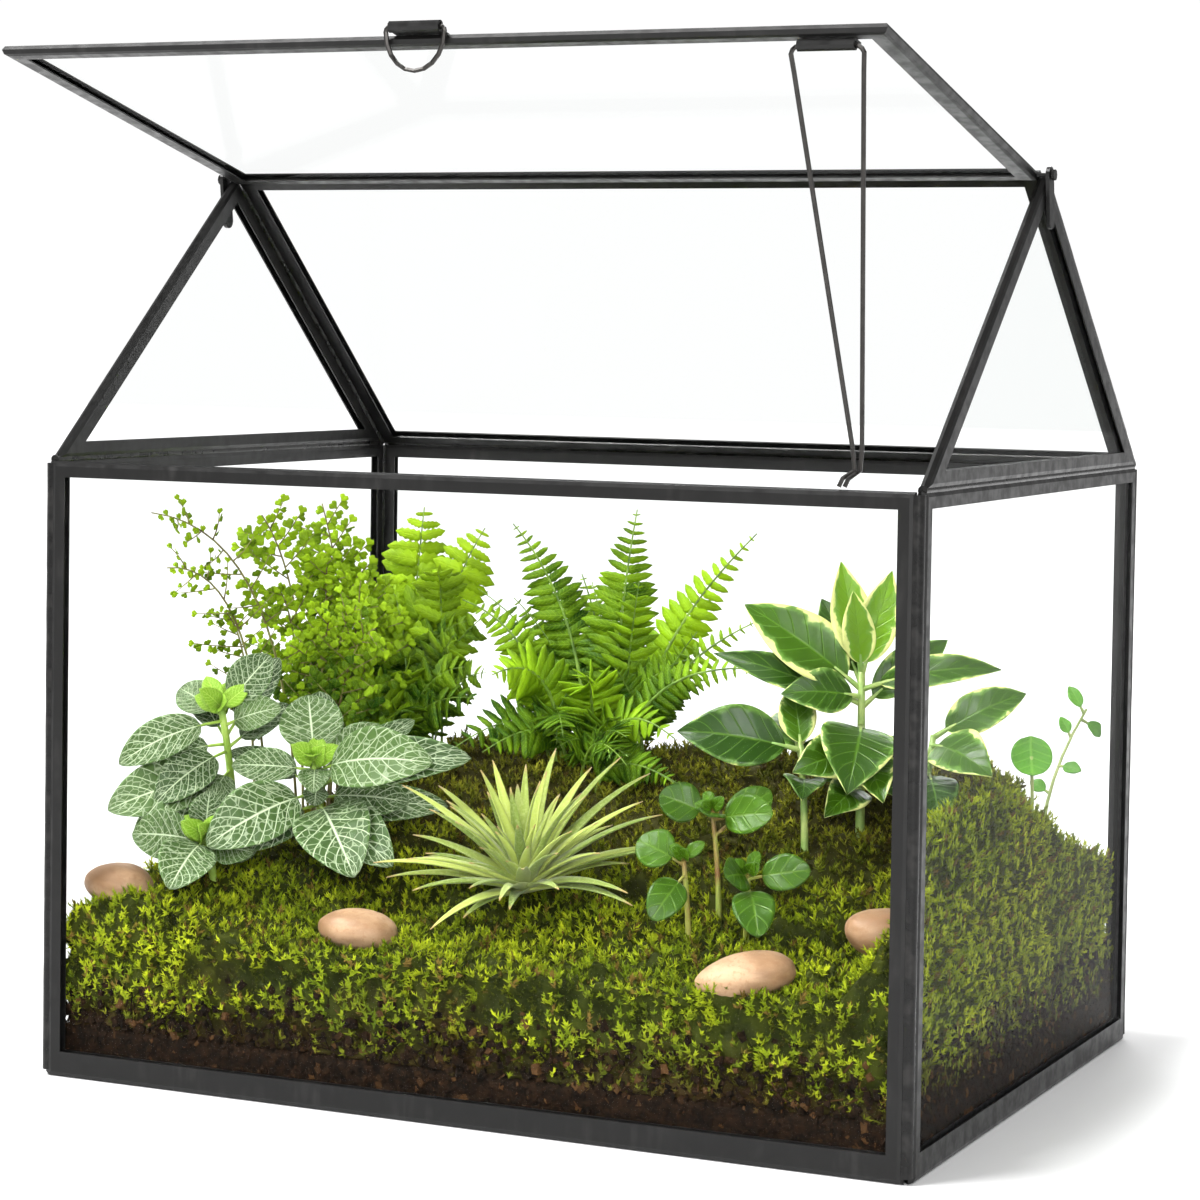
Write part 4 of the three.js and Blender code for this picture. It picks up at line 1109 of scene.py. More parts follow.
def add_pebbles():
    """Water-worn stones, a little fuller at one end, sunk part way in the moss."""
    stone = pebble_finish()
    for k, (name, (x, y, size, turn, tilt)) in enumerate(PEBBLES.items()):
        ball, faces = round_ball(48, 24)
        full = 1 + 0.1 * ball[:, 0] + 0.05 * ball[:, 2] * ball[:, 0]
        ball[:, 1] *= full
        ball[:, 2] *= full
        ball *= 1 + lumps(ball * 10, 17, 0.03, 30 + k)[:, None]
        c, s = math.cos(math.radians(tilt)), math.sin(math.radians(tilt))
        points = (ball * size) @ np.array([[c, 0, -s], [0, 1, 0], [s, 0, c]])
        c, s = math.cos(math.radians(turn)), math.sin(math.radians(turn))
        points = points @ np.array([[c, s, 0], [-s, c, 0], [0, 0, 1]])
        skin = Skin()
        skin.add(points + [x, y, float(ground(x, y)) + size[2] * 0.45], faces)
        dress(skin.object(name + "_stone", [stone]), "pebble", name)


def round_ball(around, rings):
    """Points and faces of a ball one unit in radius."""
    theta = np.linspace(0, math.pi, rings + 1)[1:-1, None]
    phi = np.linspace(0, 2 * math.pi, around, endpoint=False)[None]
    level = np.sin(theta)
    wall = np.stack([level * np.cos(phi), level * np.sin(phi), np.cos(theta) + 0 * phi], -1)
    points = np.concatenate([wall.reshape(-1, 3), [[0, 0, 1.0], [0, 0, -1.0]]])
    at, on = numbered(rings - 1, around)
    faces = quads(at[:-1], at[1:], on[1:], on[:-1])
    north, south = len(points) - 2, len(points) - 1
    for j in range(around):
        faces += [[north, at[0, j], on[0, j]], [south, on[-1, j], at[-1, j]]]
    return points, faces


# ---------------------------------------------------------------- leafy plants

# Each stem: x and y of its foot, its top, and its leaves. A leaf leaves the stem at a share of its
# height and has a tip, a width and a bow towards the light.
NERVE = {
    "nerve_plant_back": ((-98, -38), (-97, -48, 97), [
        (0.98, (-86, -40, 112), 11, 0.1),
        (0.96, (-115, -41, 101), 10, 0.1),
        (0.93, (-119, -66, 82), 11, 0.35),
        (0.9, (-80, -44, 98), 9, 0.2),
        (0.75, (-107, -66, 72), 12, 0.3),
        (0.6, (-118, -73, 70), 15, 0.25),
    ]),
    "nerve_plant_middle": ((-72, -34), (-68, -46, 83), [
        (0.95, (-91, -52, 82), 9, 0.15),
        (0.97, (-76, -36, 101), 16, 0.05),
        (0.9, (-55, -31, 93), 10, 0.15),
        (0.93, (-28, -52, 87), 16, 0.3),
        (0.98, (-62, -57, 77), 8, 0.2),
        (0.75, (-88, -70, 62), 16, 0.3),
        (0.7, (-41, -41, 74), 12, 0.2),
        (0.62, (-43, -68, 57), 19, 0.3),
    ]),
    "nerve_plant_front": ((-92, -59), (-93, -63, 63), [
        (0.93, (-110, -73, 64), 13, 0.25),
        (0.95, (-91, -84, 52), 14, 0.3),
        (0.98, (-92, -62, 76), 9, 0.1),
        (0.85, (-78, -62, 60), 9, 0.2),
    ]),
}


def young_leaves(skin, top, count, length, seed, **shape):
    """The small leaves that open at a stem's end."""
    rng = np.random.default_rng(seed)
    for k in range(count):
        turn = k * GOLDEN_TURN + rng.uniform(-0.3, 0.3) + seed
        way = heading(turn) * 0.8 + [0, -0.25, rng.uniform(0.35, 0.9)]
        tip = np.asarray(top) + unit(way) * length * rng.uniform(0.75, 1.1)
        add_leaf(skin, top, tip, length * 0.55, tone=1.0, seed=k, size=(9, 7), **shape)


def add_nerve_plant():
    """Three leafy stems; each leaf has another under it, darkened as painted shade."""
    leaf, stalk = nerve_finish(), stalk_finish("nerve_stalk", (0.17, 0.3, 0.03), (0.34, 0.48, 0.08))
    rng = np.random.default_rng(3)
    for k, (name, (at, top, leaves)) in enumerate(NERVE.items()):
        skin, stem = leafy_stem(at, top, 1.2, 1.0)
        for i, (share, tip, width, bow) in enumerate(leaves):
            add_leaf(skin, share_of(stem, share), tip, width * 1.12, bow, size=(37, 17), shape=broad,
                     quilt=0.3, pairs=8.0, seed=i + k * 5, tone=rng.uniform(0.15, 0.85))
            stray = [rng.uniform(-9, 11), rng.uniform(5, 14), rng.uniform(-9, 3)]
            under = np.asarray(tip, float) + stray
            under[0] = max(under[0], LEFT_OF_LEAVES)
            under[2] = max(under[2], float(ground(under[0], under[1])) + 5)
            base = share_of(stem, share * 0.85)
            # Painted shade: the leaf under each leaf gets a low tone.
            add_leaf(skin, base, under, width * 0.9, bow, size=(25, 13), shape=broad,
                     quilt=0.25, pairs=8.0, seed=i + k * 7, tone=rng.uniform(0.0, 0.35))
        young_leaves(skin, top, 7, 10.5, 40 + k, quilt=0.15, pairs=6.0, stalk=0.1)
        dress(skin.object(name + "_leaves", [leaf, stalk]), "nerve_leaf", name)


def add_air_plant():
    """A rosette of narrow channelled leaves square to the slope."""
    x, y, core, slope = 1, -53, 5, math.radians(18)
    heart = np.array([x, y, float(ground(x, y)) + core + 0.6])
    c, s = math.cos(slope), math.sin(slope)
    tilt = np.array([[1, 0, 0], [0, c, -s], [0, s, c]])
    axis = tilt @ UP
    golden = 137.5  # degrees from one leaf to the next
    main, filling = 22, 40
    skin = Skin()
    for i in range(main + filling):
        rank = i if i < main else (i - main) * main / filling + 0.37
        outer = min(1.0, rank / (main - 1))
        azimuth = math.radians(rank * golden + 24 if i < main else i * golden + 61)
        rise = math.radians(84 - 62 * outer ** 0.8)
        room = 1 - 0.26 * max(0.0, -math.sin(azimuth))
        length = room * (28 + 15 * math.sin(2.2 * outer) + 3 * math.sin(rank * 1.7))
        if i >= main:
            length *= 0.62 + 0.3 * (math.sin(i * 5.1) * 0.5 + 0.5)
        out = tilt @ heading(azimuth)
        way = out * math.cos(rise) + axis * math.sin(rise)
        base = heart + way * core * 0.3
        crest = heart + way * (core * 0.85 + length * 0.55)
        tip = crest + way * length * 0.45 + out * length * 0.12 - axis * length * 0.22 * (0.3 + outer)
        t = np.linspace(0, 1, 13)
        point, _, face, side = run(base, crest, tip, axis - out * 0.9)(t)
        half = 2.5 * (1 - t) ** 0.8 + 0.1
        across = np.linspace(-1, 1, 5)
        curl = (np.abs(across) ** 1.6)[None] * half[:, None] * 0.5
        grid = point[:, None] + side[:, None] * (half[:, None] * across)[..., None]
        grid = grid + face[:, None] * curl[..., None]
        skin.sheet(grid, face[:, None], (0.55 - 0.4 * t)[:, None],
                   across=across, along=t[:, None], tone=0.5 + 0.45 * math.sin(i * 2.3))
    dress(skin.object("air_plant_rosette", [air_plant_finish()]), "air_plant_leaf", "air_plant")


# Each stem as a nerve plant's.
RADIATOR = {
    "radiator_plant_upper": ((53, -44), (51, -45, 79), [
        (0.96, (38, -50, 83), 10, 0.1),
        (0.93, (69, -47, 80), 10, 0.15),
        (0.98, (54, -54, 79), 7, 0.1),
        (0.8, (63, -34, 84), 9, 0.1),
    ]),
    "radiator_plant_left": ((50, -57), (49, -59, 68), [
        (0.95, (36, -59, 72), 10, 0.15),
        (0.85, (46, -72, 54), 9, 0.3),
    ]),
    "radiator_plant_right": ((64, -52), (66, -56, 65), [
        (0.95, (82, -53, 67), 9, 0.15),
        (0.85, (75, -71, 52), 10, 0.3),
        (0.98, (64, -67, 66), 9, 0.15),
    ]),
}


def add_radiator_plant():
    """Three small stems of rounded leaves on red stalks."""
    leaf = leaf_green("radiator_leaf", (0.011, 0.038, 0.001), (0.05, 0.125, 0.004), 0.32,
                      veins=4.0, vein_colour=(0.15, 0.26, 0.025), vein_share=0.25, gloss=0.2)
    stalk = stalk_finish("red_stalk", (0.2, 0.1, 0.03), (0.26, 0.32, 0.05))
    rng = np.random.default_rng(8)
    for k, (name, (at, top, leaves)) in enumerate(RADIATOR.items()):
        skin, stem = leafy_stem(at, top, 0.85, 0.6)
        for i, (share, tip, width, bow) in enumerate(leaves):
            add_leaf(skin, share_of(stem, share), tip, width * 1.1, bow, size=(21, 11), shape=rounded,
                     stalk=0.22, fold=0.1, quilt=0.12, pairs=4.0, seed=i, tone=rng.uniform(0.1, 0.9))
        young_leaves(skin, top, 4, 6.5, 60 + k, quilt=0.05, pairs=4.0, stalk=0.15, shape=rounded)
        dress(skin.object(name + "_leaves", [leaf, stalk]), "radiator_leaf", name)


# Each stem as a nerve plant's, with its radius before its leaves.
VARIEGATED = {
    "variegated_stem_main": ((78, -6), (78, -7, 114), 1.3, [
        (0.98, (70, -3, 143), 10, 0.05),
        (0.97, (84, -1, 141), 10, 0.05),
        (0.9, (47, -15, 131), 15, 0.15),
        (0.82, (37, -12, 117), 8, 0.15),
        (0.9, (112, 8, 115), 8, 0.35),
        (0.7, (83, -30, 84), 18, 0.35),
        (0.99, (77, -12, 136), 8, 0.1),
        (0.93, (62, 4, 132), 10, 0.1),
        (0.86, (60, -20, 108), 11, 0.25),
        (0.8, (96, 10, 122), 10, 0.2),
        (0.55, (66, -26, 88), 12, 0.3),
        (0.5, (92, -27, 82), 12, 0.3),
        (0.42, (60, -8, 92), 12, 0.3),
        (0.45, (99, -12, 92), 12, 0.3),
        (0.35, (76, -28, 77), 10, 0.3),
    ]),
    "variegated_stem_left": ((66, -16), (64, -15, 94), 1.1, [
        (0.96, (33, -27, 97), 15, 0.2),
        (0.94, (57, -4, 109), 9, 0.1),
        (0.9, (50, 4, 100), 10, 0.2),
        (0.7, (72, -34, 82), 10, 0.3),
    ]),
    "variegated_stem_right": ((96, -8), (98, -6, 98), 1.1, [
        (0.98, (119, 8, 109), 10, 0.3),
        (0.92, (119, -20, 90), 13, 0.25),
        (0.7, (107, -26, 76), 11, 0.25),
        (0.6, (88, -18, 84), 8, 0.2),
    ]),
}


def add_variegated_plant():
    """Three stems of pointed leaves, those at the very top young and pale."""
    leaf = variegated_finish()
    stalk = stalk_finish("pale_stalk", (0.14, 0.26, 0.05), (0.34, 0.42, 0.12))
    rng = np.random.default_rng(17)
    for name, (at, top, radius, leaves) in VARIEGATED.items():
        skin, stem = leafy_stem(at, top, radius, 0.75 * radius, sides=10)
        for i, (share, tip, width, bow) in enumerate(leaves):
            young = tip[2] > 135
            tone = 0.97 if young else rng.uniform(0.0, 0.7)
            add_leaf(skin, share_of(stem, share), tip, width * 1.15, bow, size=(27, 13), shape=pointed,
                     stalk=0.12, stalk_radius=0.7, fold=0.2, quilt=0.15, pairs=7.0, wave=0.5,
                     seed=i + 3, tone=tone)
        dress(skin.object(name + "_leaves", [leaf, stalk]), "variegated_leaf", name)


def penny_leaf():
    """A round leaf, cupped to the light, on a thin stalk."""
    top, radius, cupped = np.array([111.0, 40.0, 88.0]), 5.8, 0.9
    skin, _ = leafy_stem((111, 42), top, 0.5, 0.5)
    side = unit(np.cross(LIGHT, UP))
    rise = np.cross(side, LIGHT)
    turn, rows = np.linspace(-1, 1, 15), np.linspace(-1, 1, 15)
    across = np.sqrt(np.maximum(0.004, 1 - rows ** 2))[:, None] * turn
    grid = top + (side * across[..., None] + rise * rows[:, None, None]) * radius
    cup = -cupped * (1 - across ** 2 - rows[:, None] ** 2)
    grid = grid + LIGHT * (cup[..., None] + 0.6)
    along = rows[:, None] * 0.5 + 0.5
    skin.sheet(grid[::-1], LIGHT, LEAF_THICKNESS, across=across, along=along, tone=0.5)
    return skin


# The runner's leaves, each as a nerve plant's.
RUNNER = [
    (0.6, (119, 62, 82), 4, 0.1),
    (0.93, (119, 80, 90), 4, 0.3),
    (0.97, (110, 78, 104), 4, 0.1),
    (0.4, (104, 62, 78), 4, 0.1),
    (0.8, (110, 70, 96), 3.5, 0.1),
]


def add_penny_leaf_and_runner():
    green = leaf_green("penny_green", (0.03, 0.11, 0.005), (0.08, 0.24, 0.015), 0.45,
                       veins=5.0, vein_colour=(0.2, 0.38, 0.06), vein_share=0.3, gloss=0.2)
    stalk = stalk_finish("thin_stalk", (0.16, 0.22, 0.05), (0.26, 0.3, 0.1))
    disc = penny_leaf()
    dress(disc.object("penny_leaf_disc", [green, stalk]), "radiator_leaf", "penny_leaf")
    skin, stem = leafy_stem((109, 58), (116, 76, 98), 0.6, 0.35)
    for i, (share, tip, width, bow) in enumerate(RUNNER):
        add_leaf(skin, share_of(stem, share), tip, width, bow, size=(13, 7), seed=i,
                 tone=0.3 + 0.12 * i)
    dress(skin.object("runner_leaves", [green, stalk]), "variegated_leaf", "runner")


# ---------------------------------------------------------------- ferns

def leaflet(name, outline, columns, rows, thickness=0.035, curl=0.12, rim=1.0):
    """A leaflet one unit long on +X, to be grown along a rib. The rim is its length at each column."""
    skin = Skin()
    u = np.linspace(0, 1, rows)
    across = np.linspace(-1, 1, columns)
    half = outline(u)[:, None]
    x = u[:, None] * (rim + 0 * across)
    z = 0.16 * half * np.abs(across) - curl * u[:, None] ** 2
    grid = np.stack([x, half * across, z], -1)
    skin.sheet(grid, UP, thickness, across=across, along=u[:, None])
    return skin.object(name, [], toned=False)


class Rows:
    """Places for leaflets: each with its way out, its face, its size and its tone."""

    def __init__(self):
        self.points, self.ways, self.faces, self.sizes, self.tones = [], [], [], [], []

    def add(self, point, way, face, size, tone):
        """Adds a place, its tone darkened the lower it lies as painted shade."""
        self.points.append(point)
        self.ways.append(unit(way))
        self.faces.append(unit(face))
        self.sizes.append(size)
        self.tones.append(tone - 0.6 * float(smooth((118 - point[2]) / 30)))

    def mesh(self, name):
        """The places as loose points, which carry their marks."""
        marks = {
            "way": ("FLOAT_VECTOR", self.ways),
            "facing": ("FLOAT_VECTOR", self.faces),
            "size": ("FLOAT", self.sizes),
            "tone": ("FLOAT", self.tones),
        }
        return wire_mesh(name, [[p] for p in self.points], **marks)


def frond_run(at, tip, crest):
    """A rib that rises from its foot by the crest's height and bends over to its tip."""
    start = foot(*at)
    over = start + (np.asarray(tip, float) - start) * 0.08
    over[2] = start[2] + crest
    return run(start, over, tip, LIGHT)


def pinnate(at, pairs, start, reach, tone, rng, sweep=0.3, droop=0.25, flutter=0.06, blunt=0.5):
    """Pairs of leaflets along a rib, shortening over the blunt share of it to its tip."""
    rows, end = Rows(), 0.985
    for i in range(pairs):
        share = start + (end - start) * (i + 0.5) / pairs
        point, along, face, side = (v[0] for v in at(share))
        taper = min(1.0, (1 - (i + 0.1) / pairs) / blunt) ** 0.85
        rising = min(1.0, 0.55 + 0.45 * i / (0.2 * pairs))
        out = max(1.2, reach * taper * rising)
        for sideways in (-1, 1):
            stray = rng.normal(0, flutter, 3)
            way = side * sideways + along * sweep - face * droop + stray
            facing = face + side * sideways * 0.25 + stray
            size = out * rng.uniform(0.93, 1.05)
            # Painted shade: leaflets low on the rib are darker, those near its tip lighter.
            rows.add(point, way, facing, size, tone - 0.2 + 0.45 * (i / pairs))
    return rows


# Each frond: its name, x and y of its foot, its tip, its crest's height, its reach to either side,
# its pairs of leaflets and its tone. The broad ones end with the tips of smaller fronds round them.
# In both tables the tones are partly the fronds' own variation and partly painted light and shade: most
# back fronds are darker, the front ones lighter.
SWORD = [
    ("tall", (-14, 34), (-10, 41, 153), 40, 11, 21, 0.25),
    ("back_left", (-22, 35), (-51, 41, 147), 46, 10, 20, 0.2),
    ("back_right", (-7, 32), (26, 47, 147), 36, 9, 20, 0.75),
    ("centre", (-18, 43), (-33, 52, 132), 34, 8, 15, 0.4),
    ("right", (-3, 25), (30, 38, 122), 30, 7, 17, 0.45),
    ("right_low", (-4, 17), (41, 18, 110), 38, 7, 17, 0.4),
    ("left", (-29, 26), (-58, 22, 125), 40, 7, 17, 0.4),
    ("front_left", (-23, 20), (-35, -4, 106), 40, 11, 14, 0.85),
    ("front_right", (-13, 19), (-4, -6, 108), 30, 10, 14, 1.0),
    ("front_low", (-8, 10), (21, 0, 91), 34, 8, 12, 0.95),
]

# The sword fronds with smaller ones round them; in front, every other one of these is lighter.
CROWDED = ("tall", "back_left", "back_right", "front_left", "front_right", "front_low")

BROAD = [
    ("tall", (-84, 38), (-83, 46, 151), 46, 13, 17, 0.75, [
        (-95, 40, 128), (-72, 36, 124), (-88, 24, 118), (-60, 30, 118)]),
    ("right", (-76, 32), (-63, 48, 145), 50, 10, 15, 0.7, [
        (-52, 36, 122), (-60, 20, 112), (-48, 20, 104), (-70, 30, 132)]),
    ("low", (-76, 18), (-78, -4, 100), 28, 10, 11, 1.0, [
        (-117, -8, 112), (-52, 14, 106), (-44, 6, 98), (-62, -6, 94),
        (-92, -2, 106), (-86, 10, 116), (-104, 2, 100), (-70, 8, 104)]),
]


def sword_pinna(u):
    """Straight-sided and blunt, its edge toothed at every other row."""
    teeth = np.where(np.arange(len(u)) % 2, 1.0, 0.86)
    return np.maximum(0.012, 0.175 * (1 - u ** 3.4) ** 0.75 * teeth * np.where(u < 0.02, 0.7, 1))


def lobed_pinna(u):
    """Cut into lobes, one at every other row."""
    lobes = np.where(np.arange(len(u)) % 2, 1.0, 0.76)
    return np.maximum(0.015, 0.235 * (1 - u ** 4) ** 0.7 * lobes * np.where(u < 0.02, 0.5, 1))


def fan_leaf(u):
    """A wedge that opens from its stalk."""
    return 0.06 + 0.52 * smooth(u * 1.25) - 0.08 * np.maximum(0, u - 0.8) / 0.2


def leafed(name, rows, shape, finish, seed, **values):
    """A leaflet grown on each of the places."""
    points = rows.mesh(name + "_places")
    values.update(Leaflet=shape, Material=finish, Seed=seed)
    blades = grown(name + "_blades", points, FOLIAGE, **values)
    discard(points)
    return blades


def add_frond(name, at, rows, looks, radius, seed, fatness=1.0):
    """A frond's leaflets and its rib."""
    shape, finish, stalk = looks
    rib = at(np.linspace(0, 0.99, 15))[0]
    skin = Skin()
    skin.tube(rib, np.linspace(1.0, 0.25, 15) * radius, 6, 0, tone=0.5)
    blades = leafed(name, rows, shape, finish, seed, Fatness=fatness)
    return [blades, skin.object(name + "_rib", [stalk])]


def join(name, parts):
    """One mesh out of several, their materials kept."""
    with bpy.context.temp_override(active_object=parts[0], selected_editable_objects=parts):
        bpy.ops.object.join()
    parts[0].name = name
    return parts[0]


def add_ferns():
    """The sword fern's fronds, then the broad fern's, each with smaller ones round it."""
    sword = leaf_green("sword_fern", (0.012, 0.055, 0.001), (0.3, 0.52, 0.008), 0.5,
                       veins=7.0, vein_colour=(0.36, 0.56, 0.025), vein_share=0.25, gloss=0.12)
    broad_green = leaf_green("broad_fern", (0.012, 0.055, 0.001), (0.33, 0.53, 0.009), 0.5,
                             veins=5.0, vein_colour=(0.38, 0.56, 0.03), vein_share=0.25, gloss=0.12)
    stalk = stalk_finish("fern_stalk", (0.06, 0.13, 0.008), (0.18, 0.3, 0.03))
    pinna = leaflet("sword_pinna", sword_pinna, 3, 8)
    wide = leaflet("lobed_pinna", lobed_pinna, 3, 10, curl=0.2)
    rng = np.random.default_rng(23)
    looks = pinna, sword, stalk
    for k, (name, at_foot, tip, crest, reach, pairs, tone) in enumerate(SWORD):
        at = frond_run(at_foot, tip, crest)
        rows = pinnate(at, pairs, 0.2, reach, tone, rng)
        fatness = 1.25 if tone > 0.7 else 1.0
        parts = add_frond("sword_" + name, at, rows, looks, 0.75, 50 + k, fatness)
        if name in CROWDED:
            parts += extra_fronds(k, at_foot, tip, crest, reach, looks, rng)
        dress(join("sword_fern_%s_frond" % name, parts), "fern_leaf", "sword_fern_" + name)
    looks = wide, broad_green, stalk
    for k, (name, at_foot, tip, crest, reach, pairs, tone, goals) in enumerate(BROAD):
        at = frond_run(at_foot, tip, crest)
        rows = pinnate(at, pairs, 0.28, reach, tone, rng, 0.15, 0.15, flutter=0.12, blunt=0.3)
        parts = add_frond("broad_" + name, at, rows, looks, 0.75, 80 + k)
        for j, goal in enumerate(goals):
            spot = (at_foot[0] + rng.uniform(-8, 5), at_foot[1] + rng.uniform(-8, 5))
            near = frond_run(spot, goal, (goal[2] - foot(*spot)[2]) * rng.uniform(0.75, 1.05))
            # Painted shade: the smaller fronds round a broad one get darker tones.
            shorter, darker = reach * rng.uniform(0.65, 0.9), rng.uniform(0.05, 0.5)
            rows = pinnate(near, 11, 0.2, shorter, darker, rng, 0.2, 0.2, flutter=0.18, blunt=0.35)
            parts += add_frond("broad_more", near, rows, looks, 0.45, 90 + 8 * k + j)
        dress(join("broad_fern_%s_frond" % name, parts), "fern_leaf", "broad_fern_" + name)
    discard(pinna, wide)


def extra_fronds(k, at_foot, tip, crest, reach, looks, rng):
    """Shorter fronds that fill the crown round a long one."""
    made = []
    in_front = k > 6
    start = foot(*at_foot)
    # Painted shade: the filling fronds get low tones inside the crown; in front every other one is made
    # lighter.
    for j, tone in enumerate((0.1, 0.2, 0.4, 0.15, 0.5)):
        if in_front and j % 2:
            tone += 0.4
        spot = (at_foot[0] + rng.uniform(-5, 5), at_foot[1] + rng.uniform(-5, 5))
        goal = start + (np.asarray(tip, float) - start) * rng.uniform(0.45, 0.75)
        goal = goal + [rng.uniform(-20, 20), rng.uniform(-18, 4), rng.uniform(-10, 4)]
        near = frond_run(spot, goal, crest * rng.uniform(0.55, 0.85))
        rows = pinnate(near, 12, 0.2, reach * 0.85, tone, rng, flutter=0.1)
        made += add_frond("sword_more", near, rows, looks, 0.55, 120 + 7 * k + j)
    return made


# Each spray: its name, x and y of its foot, its tip, its crest's height, its twigs, the share of the
# stalk where they start, their length, the size of its leaflets and the tips of smaller sprays.
MAIDENHAIR = [
    ("far_left", (-96, -6), (-113, -60, 152), 92, 10, 0.45, 15, 0.75, []),
    ("left", (-102, -13), (-114, -50, 136), 86, 9, 0.4, 15, 0.75, [(-108, -28, 122)]),
    ("upper", (-98, 6), (-110, -5, 149), 74, 13, 0.35, 20, 1.0, [
        (-104, -6, 128), (-92, 2, 134), (-97, -4, 112)]),
    ("right", (-88, 14), (-100, 13, 152), 56, 15, 0.3, 21, 1.0, [
        (-84, 6, 130), (-96, 8, 138), (-80, 16, 118)]),
    ("low", (-88, -2), (-70, -8, 118), 56, 13, 0.25, 18, 1.0, [
        (-86, -6, 120), (-96, -12, 112), (-78, 2, 126), (-74, -2, 106)]),
]


def maidenhair_spray(rows, skin, at, twigs, first, spread, leafing, rng):
    """Twigs turn about along a wiry stalk, each with fan leaflets turn about."""
    skin.tube(at(np.linspace(0, 1, 17))[0], np.linspace(0.45, 0.2, 17), 6, 0, tone=0.5)
    for i in range(twigs):
        share = first + (0.96 - first) * i / twigs
        point, along, face, side = (v[0] for v in at(share))
        turn = math.radians(rng.uniform(38, 66)) * (1 if i % 2 else -1)
        length = spread * (1 - 0.6 * (i / twigs) ** 1.3) * rng.uniform(0.8, 1.08)
        way = along * math.cos(turn) + side * math.sin(turn) + face * rng.uniform(-0.4, 0.6)
        end = point + unit(way) * length
        end[0] = max(end[0], LEFT_OF_TWIGS)
        twig = bowed_run(point, end, 0.12, face)
        skin.tube(twig(np.linspace(0, 1, 6))[0], np.linspace(0.24, 0.12, 6), 5, 0, tone=0.5)
        count = max(3, int(length * leafing ** 2 / 1.45))
        for j in range(count):
            place, on, look, across = (v[0] for v in twig(0.15 + 0.85 * j / count))
            stray = rng.normal(0, 0.22, 3)
            sideways = across * (1 if j % 2 else -1)
            size = leafing * rng.uniform(1.6, 3.6)
            # Painted light and shade: leaflets low on the spray are darker, those higher up and at the
            # twig ends lighter.
            tone = rng.uniform(0.0, 0.5) + 0.4 * share
            rows.add(place, sideways + on * 0.7 + stray, look + stray, size, tone)
        rows.add(end, unit(way), face, 2.6 * leafing, 0.9)
    for j in range(8):
        place, on, look, across = (v[0] for v in at(0.8 + 0.19 * j / 8))
        rows.add(place, across * (1 if j % 2 else -1) + on * 0.6, look, 2.6 * leafing, 0.9)


def add_maidenhair():
    """Sprays of fan leaflets, each with smaller sprays at its foot."""
    green = leaf_green("maidenhair_leaf", (0.012, 0.055, 0.001), (0.33, 0.52, 0.012), 0.5,
                       veins=5.0, vein_colour=(0.38, 0.54, 0.04), vein_share=0.2, gloss=0.1)
    stalk = stalk_finish("wiry_stalk", (0.1, 0.07, 0.02), (0.22, 0.22, 0.05))
    scalloped = np.array([0.78, 1.0, 0.84, 1.0, 0.78])
    fan = leaflet("fan_leaf", fan_leaf, 5, 5, 0.05, 0.1, scalloped)
    rng = np.random.default_rng(31)
    for k, (name, at_foot, tip, crest, twigs, first, spread, leafing, goals) in enumerate(MAIDENHAIR):
        rows, skin = Rows(), Skin()
        at = frond_run(at_foot, tip, crest)
        maidenhair_spray(rows, skin, at, twigs, first, spread, leafing, rng)
        for goal in goals:
            spot = (at_foot[0] + rng.uniform(-4, 4), at_foot[1] + rng.uniform(-4, 4))
            near = frond_run(spot, goal, (goal[2] - foot(*spot)[2]) * 0.9)
            maidenhair_spray(rows, skin, near, 10, 0.3, 15, leafing, rng)
        blades = leafed("maidenhair", rows, fan, green, 200 + k, Spread=0.2)
        made = join("maidenhair_%s_spray" % name, [blades, skin.object("twigs", [stalk])])
        dress(made, "maidenhair_leaf", "maidenhair_" + name)
    discard(fan)


# ---------------------------------------------------------------- studio

def add_camera():
    """The photographer's place, a little above the lid's edge and to the right."""
    yaw, pitch, roll = (math.radians(a) for a in (-24.81, -2.5, 0.87))
    ahead = Vector((math.sin(yaw) * math.cos(pitch), math.cos(yaw) * math.cos(pitch), math.sin(pitch)))
    level = Vector((math.cos(yaw), -math.sin(yaw), 0))
    upright = level.cross(ahead)
    right = level * math.cos(roll) + upright * math.sin(roll)
    top = upright * math.cos(roll) - level * math.sin(roll)
    data = bpy.data.cameras.new("camera")
    camera = new_object("camera", data)
    stand = Vector((382.3, -840.7, 205.2)) * MM
    placed = Matrix((right, top, -ahead)).transposed().to_4x4()
    placed.translation = stand
    camera.matrix_world = placed
    data.sensor_width, data.lens = 36, 99
    picture = 1200  # dots across the picture, in which the lens's shift is measured
    data.shift_x, data.shift_y = 9 / picture, -128 / picture
    data.clip_start, data.clip_end = 0.01, 50
    bpy.context.scene.camera = camera


def add_lamp(name, kind, power, way, at=(0, 0, 0)):
    """A lamp that shines along a way; gives its data."""
    data = bpy.data.lights.new(name, kind)
    data.energy = power
    lamp = new_object(name, data)
    lamp.location = at
    lamp.rotation_mode = "QUATERNION"
    lamp.rotation_quaternion = Vector(way).to_track_quat("-Z", "Y")
    return data


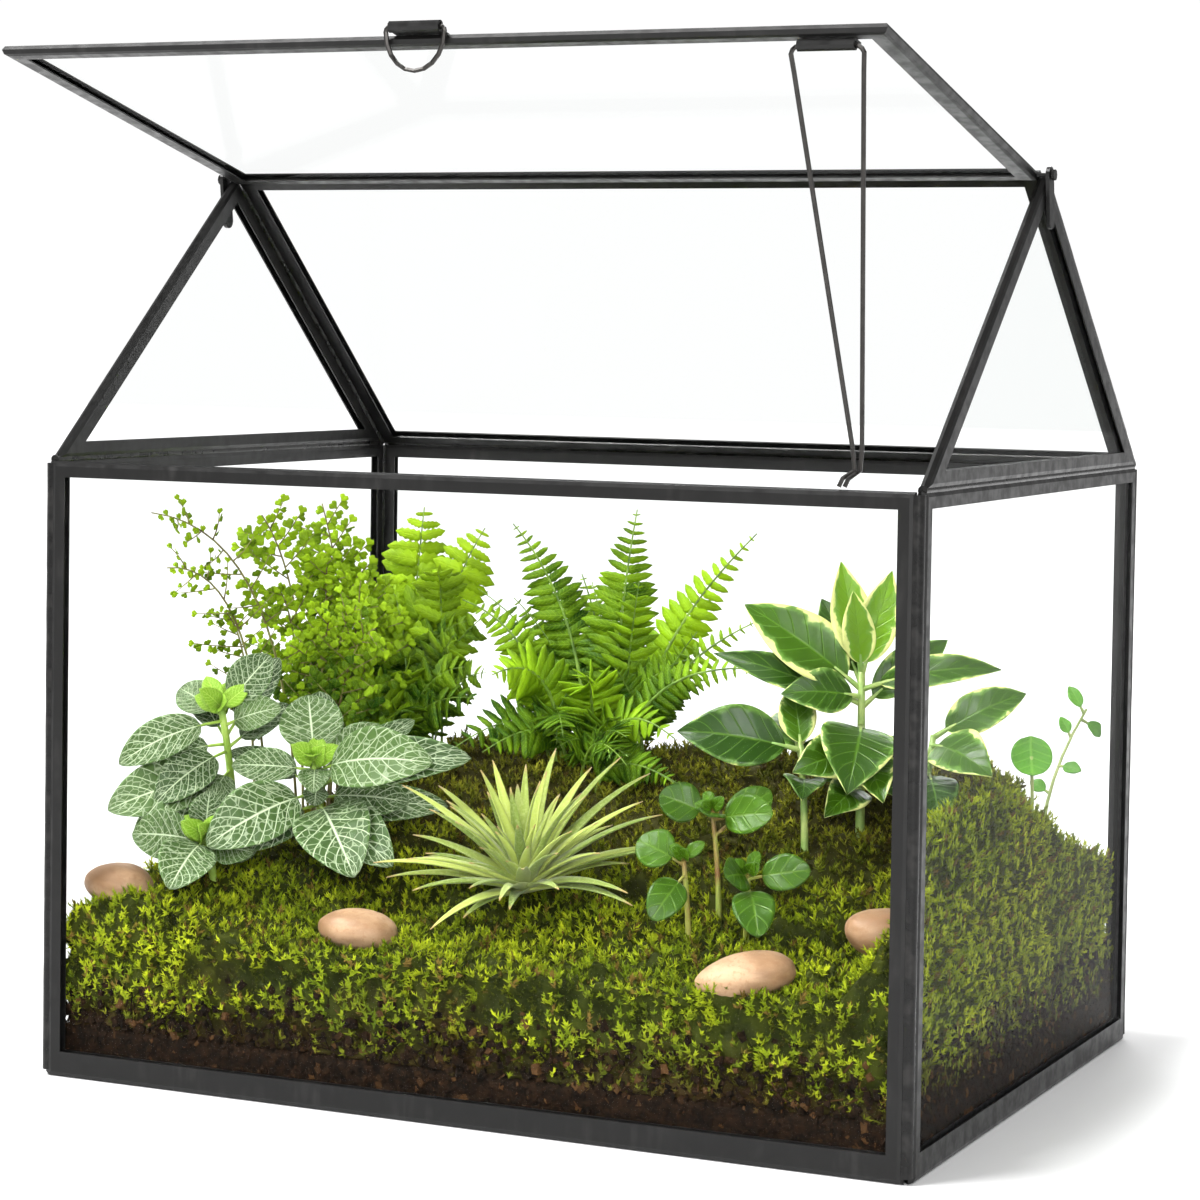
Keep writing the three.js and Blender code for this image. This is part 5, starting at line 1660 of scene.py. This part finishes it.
def add_panel(name, at, target, size, power):
    """A soft rectangular lamp that shines on a target."""
    panel = add_lamp(name, "AREA", power, Vector(target) - Vector(at), at)
    panel.shape = "RECTANGLE"
    panel.size, panel.size_y = size


def add_backdrop():
    """White to the camera; its light is softer on what it falls on and in what it glints on."""
    scene = bpy.context.scene
    scene.view_settings.view_transform = "Standard"
    world = bpy.data.worlds.new("studio")
    world.use_nodes = True
    g = Graph(world.node_tree)
    background = world.node_tree.nodes["Background"]
    background.inputs["Color"].default_value = (1, 1, 1, 1)
    fallen = g.maths("MINIMUM", g.add("ShaderNodeLightPath", out="Diffuse Depth"), 1.0)
    through = g.add("ShaderNodeLightPath", out="Is Transmission Ray")
    glint = g.add("ShaderNodeLightPath", out="Is Glossy Ray")
    glint = g.minus(glint, through, clamp=True)
    dimmed = g.plus(g.times(fallen, 0.45), g.times(glint, 0.65))
    strength = g.maths("MAXIMUM", g.minus(1.02, dimmed), 0.3)
    g.tree.links.new(strength, background.inputs["Strength"])
    scene.world = world


def add_floor():
    """A wide sheet of pale paper under the house."""
    reach = 6.0
    corners = [(-reach, -reach, 0), (reach, -reach, 0), (reach, reach, 0), (-reach, reach, 0)]
    mesh = bpy.data.meshes.new("floor")
    mesh.from_pydata(corners, [], [(0, 1, 2, 3)])
    floor = new_object("floor", mesh)
    f = Finish("pale_paper")
    f.put(
        Base_Color=f.blend(f.noise(40, 2), (0.93, 0.93, 0.93), (0.95, 0.95, 0.95)),
        Roughness=0.6,
        Specular_IOR_Level=0.2,
    )
    mesh.materials.append(f.material)


def add_lamps():
    key = add_lamp("key", "SUN", 3.8, (0.55, 0.45, -1.0))
    key.angle = math.radians(24)
    add_panel("fill", (0.7, -1.4, 0.7), (0, 0, 0.08), (0.7, 0.7), 15)
    add_panel("rim", (-0.4, 1.3, 1.0), (0, 0, 0.1), (0.8, 0.5), 8)


# ---------------------------------------------------------------- the whole

add_camera()
add_backdrop()
add_floor()
add_lamps()
dress_frame()
add_solder()
add_bed()
add_pebbles()
add_nerve_plant()
add_air_plant()
add_radiator_plant()
add_variegated_plant()
add_penny_leaf_and_runner()
add_ferns()
add_maidenhair()
